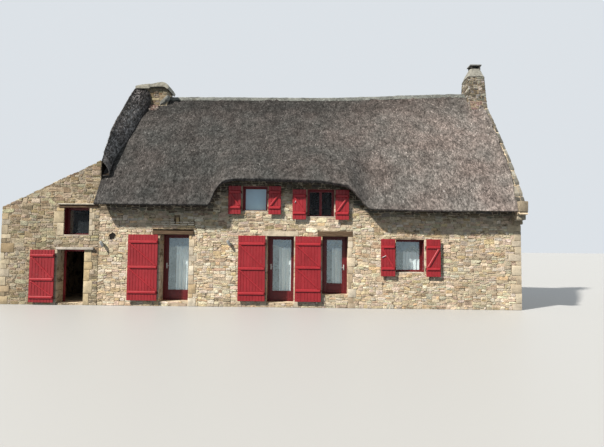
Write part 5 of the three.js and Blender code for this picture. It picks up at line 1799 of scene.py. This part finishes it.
def door(name, o):
    shape = Shape()
    y0 = FRONT + DOOR_SET
    y1 = y0 + FRAME["thick"]
    ring_frame(
        shape, o["west"] + 0.0005, o["east"] - 0.0005, y0, y1, o["bottom"] + 0.0005, o["top"] - 0.0005,
        FRAME["wide"], FRAME["sill"], tint=FRAME_SHADE_TONES["door"],
    )
    shape.piece(name + "_frame_joinery", [FRAME_RED], "painted_joinery", replaces=(name + "_frame",))
    x0, x1 = o["west"] + FRAME["wide"] + LEAF["clear"], o["east"] - FRAME["wide"] - LEAF["clear"]
    z0, z1 = o["bottom"] + FRAME["sill"] + LEAF["clear"], o["top"] - FRAME["wide"] - LEAF["clear"]
    y0 += LEAF["set_back"]
    y1 = y0 + LEAF["thick"]
    body = name + "_leaf"
    leaf = Shape()
    rail, head = LEAF["bottom_rail"], LEAF["head"]
    # On the doors hinged at their east edge that stile is narrow
    west, east = (LEAF["stile"], LEAF["narrow"]) if o["hinge"] > 0 else (LEAF["stile"], LEAF["stile"])
    tone = FRAME_SHADE_TONES["door"]
    inner = (x0 + west - 0.001, x1 - east + 0.001, y0 + 0.0005, y1 - 0.0005)
    bar(leaf, x0, x0 + west, y0, y1, z0, z1, 0.004, tone)
    bar(leaf, x1 - east, x1, y0, y1, z0, z1, 0.004, tone)
    bar(leaf, *inner, z1 - head, z1, 0.004, tone)
    bar(leaf, *inner, z0, z0 + rail, 0.004, tone)
    bar(
        leaf, x0 + west + 0.05, x1 - east - 0.05, y0 - 0.006, y1 + 0.006, z0 + 0.07, z0 + rail - 0.06, 0.006,
        tone,
    )
    ring_frame(
        leaf, x0 + west, x1 - east, y0 + 0.006, y1 - 0.006, z0 + rail, z1 - head, 0.009, chamfer=0.003,
        tint=tone,
    )
    leaf.piece(body + "_joinery", [FRAME_RED], "painted_joinery", body=body, replaces=(body,))
    middle = (y0 + y1) / 2
    pane(
        body + "_glass", body, x0 + west - 0.005, x1 - east + 0.005, middle - 0.002, z0 + rail - 0.005,
        z1 - head + 0.005, HALF_MIRROR,
    )
    irons = Shape()
    edge = o["east"] - FRAME["wide"] if o["hinge"] > 0 else o["west"] + FRAME["wide"]
    axis_x, axis_y = edge - o["hinge"] * 0.002, y1 + 0.017

    def knuckle(shape, z0, z1, near, far, y):
        rod(shape, (axis_x, axis_y, z0), (axis_x, axis_y, z1), 0.008, 12)
        xs = sorted((axis_x + o["hinge"] * near, axis_x + o["hinge"] * far))
        bar(shape, *xs, y, axis_y - 0.004, z0, z1, 0.001)

    hinges = (o["bottom"] + HINGES["above_foot"], o["top"] - HINGES["below_head"])
    for z in hinges:
        knuckle(irons, z, z + HINGES["tall"], -0.003, -0.045, y1 - 0.005)
    x = x0 + LEAF["stile"] / 2 if o["hinge"] > 0 else x1 - LEAF["stile"] / 2
    h, half, wide, bright = HANDLE["at"], HANDLE["half"], HANDLE["wide"], HANDLE["tint"]
    for near, far in ((y0 - 0.006, y0 + 0.001), (y1 - 0.001, y1 + 0.006)):
        bar(irons, x - wide, x + wide, near, far, h - half, h + half, 0.0025, bright)
    for start, end in ((y0 - 0.004, y0 - 0.043), (y1 + 0.004, y1 + 0.043)):
        rod(irons, (x, start, h), (x, end, h), 0.009, 12, bright)
        rod(irons, (x - o["hinge"] * 0.009, end, h), (x + o["hinge"] * 0.105, end, h), 0.008, 12, bright)
    irons.piece(body + "_irons", [METAL], "grey_metal", body=body)
    frame_irons = Shape()
    for z in hinges:
        knuckle(frame_irons, z - HINGES["tall"] - 0.0003, z - 0.0003, 0.002, 0.045, y0 + 0.047)
    frame_irons.piece(name + "_frame_irons", [METAL], "grey_metal")
    left, right = x0 + west - 0.012, x1 - east + 0.012
    bottom, top = z0 + rail - 0.03, z1 - head + 0.012
    start = left + 0.36 * (right - left)
    curtain(
        f"curtain_{name}", body, start, right - 0.008, y1, bottom + 0.02, top - 0.31,
        int(abs(o["west"]) * 10),
    )


def fittings():
    """A pale stay on one ground-floor shutter and a hook on an upper one."""
    face = FRONT - PIN["out"] - SHUTTER["board"] - 0.012
    for name, start, end in (
        ("shutter_ground_west", (2.42, face, 1.665), (2.56, face, 1.725)),
        ("shutter_upper_east_l", (-0.43, face, 3.43), (-0.4, face, 3.48)),
    ):
        shape = Shape()
        rod(shape, start, end, 0.009, 12, (0.95, 0.95, 0.93))
        rod(
            shape, (start[0], start[1] + 0.016, start[2]), (start[0], start[1] - 0.012, start[2]), 0.014, 14,
            (0.3, 0.3, 0.3),
        )
        shape.piece(name + "_stay", [METAL], "grey_metal", body=name)


def joinery():
    for name, values in SHUTTERS.items():
        shutter(name, *values)
    fittings()
    for name, o in WINDOWS.items():
        window(name, o, FRONT, 1)
    for name, o in REAR_WINDOWS.items():
        window(name, o, BACK, -1)
    for name, o in DOORS.items():
        door(name, o)
    o = WINDOWS["window_ground"]
    y = FRONT + o["set"] + FRAME["thick"]
    curtain("curtain_window_ground", "house", 3.2, 3.75, y, 1.21, 1.83, 4)
    shape = Shape()
    o = ANNEX_DOOR
    y0 = FRONT + DOOR_SET
    y1 = y0 + FRAME["thick"]
    top = o["top"] - 0.001
    w = FRAME["wide"]
    bar(shape, o["west"] + 0.0005, o["west"] + w, y0, y1, o["bottom"] + 0.0005, top, 0.004, (1, 1, 1))
    bar(shape, o["east"] - w, o["east"] - 0.0005, y0, y1, o["bottom"] + 0.0005, top, 0.004, (1, 1, 1))
    bar(
        shape, o["west"] + w - 0.001, o["east"] - w + 0.001, y0 + 0.0005, y1 - 0.0005, top - w, top, 0.004,
        (1, 1, 1),
    )
    shape.piece("annex_door_frame_joinery", [FRAME_RED], "painted_joinery", replaces=("annex_door_frame",))


# Floors, annex roof and fittings


def floors():
    boards = Shape()
    rng = np.random.default_rng(101)
    for node, step in (("upper_floor", 0.16), ("annex_loft_floor", 0.16)):
        low, high = (np.array(c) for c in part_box(node))
        y = low[1]
        while y < high[1] - 0.01:
            end = min(y + step, high[1])
            bar(
                boards, low[0], high[0], y, end - 0.002, low[2], high[2], 0.002,
                np.full(3, rng.uniform(0.12, 0.22)),
            )
            y = end
    boards.piece("floor_boards", [TIMBER], "timber", replaces=("upper_floor", "annex_loft_floor"))
    for node in ("ground_floor", "annex_floor"):
        NODES[node].material_slots[0].material = LIME


def annex_roof():
    shape = Shape()
    rng = np.random.default_rng(102)
    low, high = (np.array(c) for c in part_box("annex_roof"))
    rise = (ANNEX_TOP[1] - ANNEX_TOP[0]) / (WEST - ANNEX_WEST)
    slope = math.atan(rise)
    run = (high[0] - low[0]) / math.cos(slope)
    foot = annex_top(low[0]) - ANNEX_ROOF["below"]

    def turn(p):
        along, up = p[:, 0], p[:, 2]
        x = low[0] + along * math.cos(slope) - up * math.sin(slope)
        z = foot + along * math.sin(slope) + up * math.cos(slope)
        return np.stack([x, p[:, 1], z], axis=1)

    thick = ANNEX_ROOF["thick"] * math.cos(slope)
    bar(
        shape, 0.03, run - 0.06, low[1] + 0.01, high[1] - 0.02, -thick, -0.022, 0.004, (0.05, 0.05, 0.05),
        turn=turn,
    )
    course = 0.19
    row = 0
    s = 0.0
    while s < run - 0.08:
        y = low[1] + (0.12 if row % 2 else 0.0)
        edges = [low[1]] + list(np.arange(y + 0.12, high[1] - 0.1, 0.24)) + [high[1]]
        for a, b in zip(edges, edges[1:]):
            tint = np.array([0.075, 0.085, 0.095]) * rng.uniform(0.7, 1.4)
            lift = rng.uniform(0.0, 0.003)
            end = min(s + course * 1.7, run - 0.05)

            def tilted(p, s=s, lift=lift):
                p = p.copy()
                p[:, 2] += -0.010 - (p[:, 0] - s) * 0.035 + lift
                return turn(p)

            bar(shape, s, end, a + 0.0015, b - 0.0015, -0.004, 0.004, 0.0015, tint, turn=tilted)
        s += course
        row += 1
    shape.piece("annex_slates", [SLATE], "slate", replaces=("annex_roof",))


def lamps():
    for name in ("wall_lamp_west", "wall_lamp_middle"):
        low, high = (np.array(c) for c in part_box(name))
        x, z = (low[0] + high[0]) / 2, (low[2] + high[2]) / 2
        shape = Shape()
        rod(shape, (x, FRONT - 0.0003, z), (x, FRONT - 0.012, z), 0.045, 20, (0.3, 0.31, 0.3))
        rod(shape, (x, FRONT - 0.01, z), (x, FRONT - 0.045, z), 0.013, 12, (0.5, 0.5, 0.5))
        outline = [
            (-0.07, 0.06), (-0.035, 0.1), (0.015, 0.085), (0.07, -0.045), (0.06, -0.098), (0.018, -0.098),
            (-0.06, 0.02),
        ]
        outline = [(x + a, z + b) for a, b in outline]
        plate(shape, outline, FRONT - 0.12, FRONT - 0.036, 0.012, (0.33, 0.34, 0.33))
        # Painted shade: a near-black plate over the lower east part of the lamp's front stands for its shaded
        # side
        dark = [(0.0, 0.07), (0.055, -0.045), (0.045, -0.085), (0.02, -0.085), (-0.02, 0.03)]
        dark = [(x + a, z + b) for a, b in dark]
        plate(shape, dark, FRONT - 0.1245, FRONT - 0.119, 0.002, (0.03, 0.03, 0.03))
        shape.piece(name + "_body", [METAL], "grey_metal", replaces=(name,))


# Camera: at the photograph's place, aimed with a small tilt, turn and roll
PHOTO_WIDE = 604
FOCAL_PIXELS = 440
SENSOR = 36.0
CAMERA = {"place": (0.0, -17.53, 2.0), "up": 2.95, "left": 0.78, "roll": 0.57}


def make_camera():
    data = bpy.data.cameras.new("camera")
    data.sensor_width = SENSOR
    data.lens = FOCAL_PIXELS / PHOTO_WIDE * SENSOR
    data.clip_end = 200
    camera = bpy.data.objects.new("camera", data)
    turn = Matrix.Rotation(math.radians(CAMERA["left"]), 4, "Z")
    tilt = Matrix.Rotation(math.radians(90 + CAMERA["up"]), 4, "X")
    roll = Matrix.Rotation(math.radians(CAMERA["roll"]), 4, "Z")
    camera.matrix_world = Matrix.Translation(CAMERA["place"]) @ turn @ tilt @ roll
    bpy.context.scene.collection.objects.link(camera)
    bpy.context.scene.camera = camera


# Name, strength, softness in degrees, colour and direction towards the lamp
LIGHTS = (
    ("key", 7.6, 2.5, (1.0, 0.95, 0.88), (-1.35, -1.0, 1.65)),
    ("fill", 0.9, 50, (0.88, 0.94, 1.0), (1.0, 0.25, 0.8)),
)


# Colour and strength of the light that the backdrop gives, and of how it is seen
BACKDROP = {"soft": ((0.84, 0.92, 1.0), 0.35), "seen": ((0.9, 0.95, 1.0), 0.8)}
FLOOR_PLANE = {"size": 900, "height": -0.001, "colour": (0.36, 0.36, 0.35, 1)}


def make_light():
    for name, energy, angle, colour, towards in LIGHTS:
        sun = bpy.data.lights.new(name, "SUN")
        sun.energy = energy
        sun.angle = math.radians(angle)
        sun.color = colour
        lamp = bpy.data.objects.new(name, sun)
        lamp.rotation_euler = Vector(towards).to_track_quat("Z", "Y").to_euler()
        bpy.context.scene.collection.objects.link(lamp)
    world = bpy.data.worlds.new("studio")
    bpy.context.scene.world = world
    world.use_nodes = True
    # What the camera and the glass see of the backdrop is paler than the light it gives
    tree = world.node_tree
    soft = tree.nodes["Background"]
    seen = tree.nodes.new("ShaderNodeBackground")
    for node, (colour, strength) in ((soft, BACKDROP["soft"]), (seen, BACKDROP["seen"])):
        node.inputs[0].default_value = (*colour, 1)
        node.inputs[1].default_value = strength
    rays = tree.nodes.new("ShaderNodeLightPath")
    either = tree.nodes.new("ShaderNodeMath")
    either.operation = "MAXIMUM"
    tree.links.new(rays.outputs["Is Camera Ray"], either.inputs[0])
    tree.links.new(rays.outputs["Is Glossy Ray"], either.inputs[1])
    mix = tree.nodes.new("ShaderNodeMixShader")
    tree.links.new(either.outputs[0], mix.inputs[0])
    tree.links.new(soft.outputs[0], mix.inputs[1])
    tree.links.new(seen.outputs[0], mix.inputs[2])
    tree.links.new(mix.outputs[0], tree.nodes["World Output"].inputs["Surface"])
    bpy.context.scene.view_settings.view_transform = "Standard"


def make_floor():
    bpy.ops.mesh.primitive_plane_add(size=FLOOR_PLANE["size"], location=(0, 0, FLOOR_PLANE["height"]))
    floor = bpy.context.object
    floor.name = "floor"
    material = bpy.data.materials.new("floor")
    material.use_nodes = True
    material.node_tree.nodes["Principled BSDF"].inputs["Base Color"].default_value = FLOOR_PLANE["colour"]
    floor.data.materials.append(material)
    floor.visible_diffuse = False


make_camera()
make_light()
make_floor()

wall_cores()
vent()
quoins = front_wall()
rear_wall(east_gable(quoins))
west_gable()
annex_walls()
coping()
lintels()
thatch_slope("front_thatch", "thatch_front", side=-1, brow=True, columns=340, rows=114, count=34000, seed=111)
thatch_slope("rear_thatch", "thatch_rear", side=1, brow=False, columns=170, rows=60, count=10000, seed=121)
verge_roll("west_verge_thatch_front", -1, 131)
verge_roll("west_verge_thatch_rear", 1, 141)
ridge_cap()
west_chimney()
east_chimney()
joinery()
floors()
annex_roof()
lamps()

cad_box = [list(corner) for corner in cad_box]
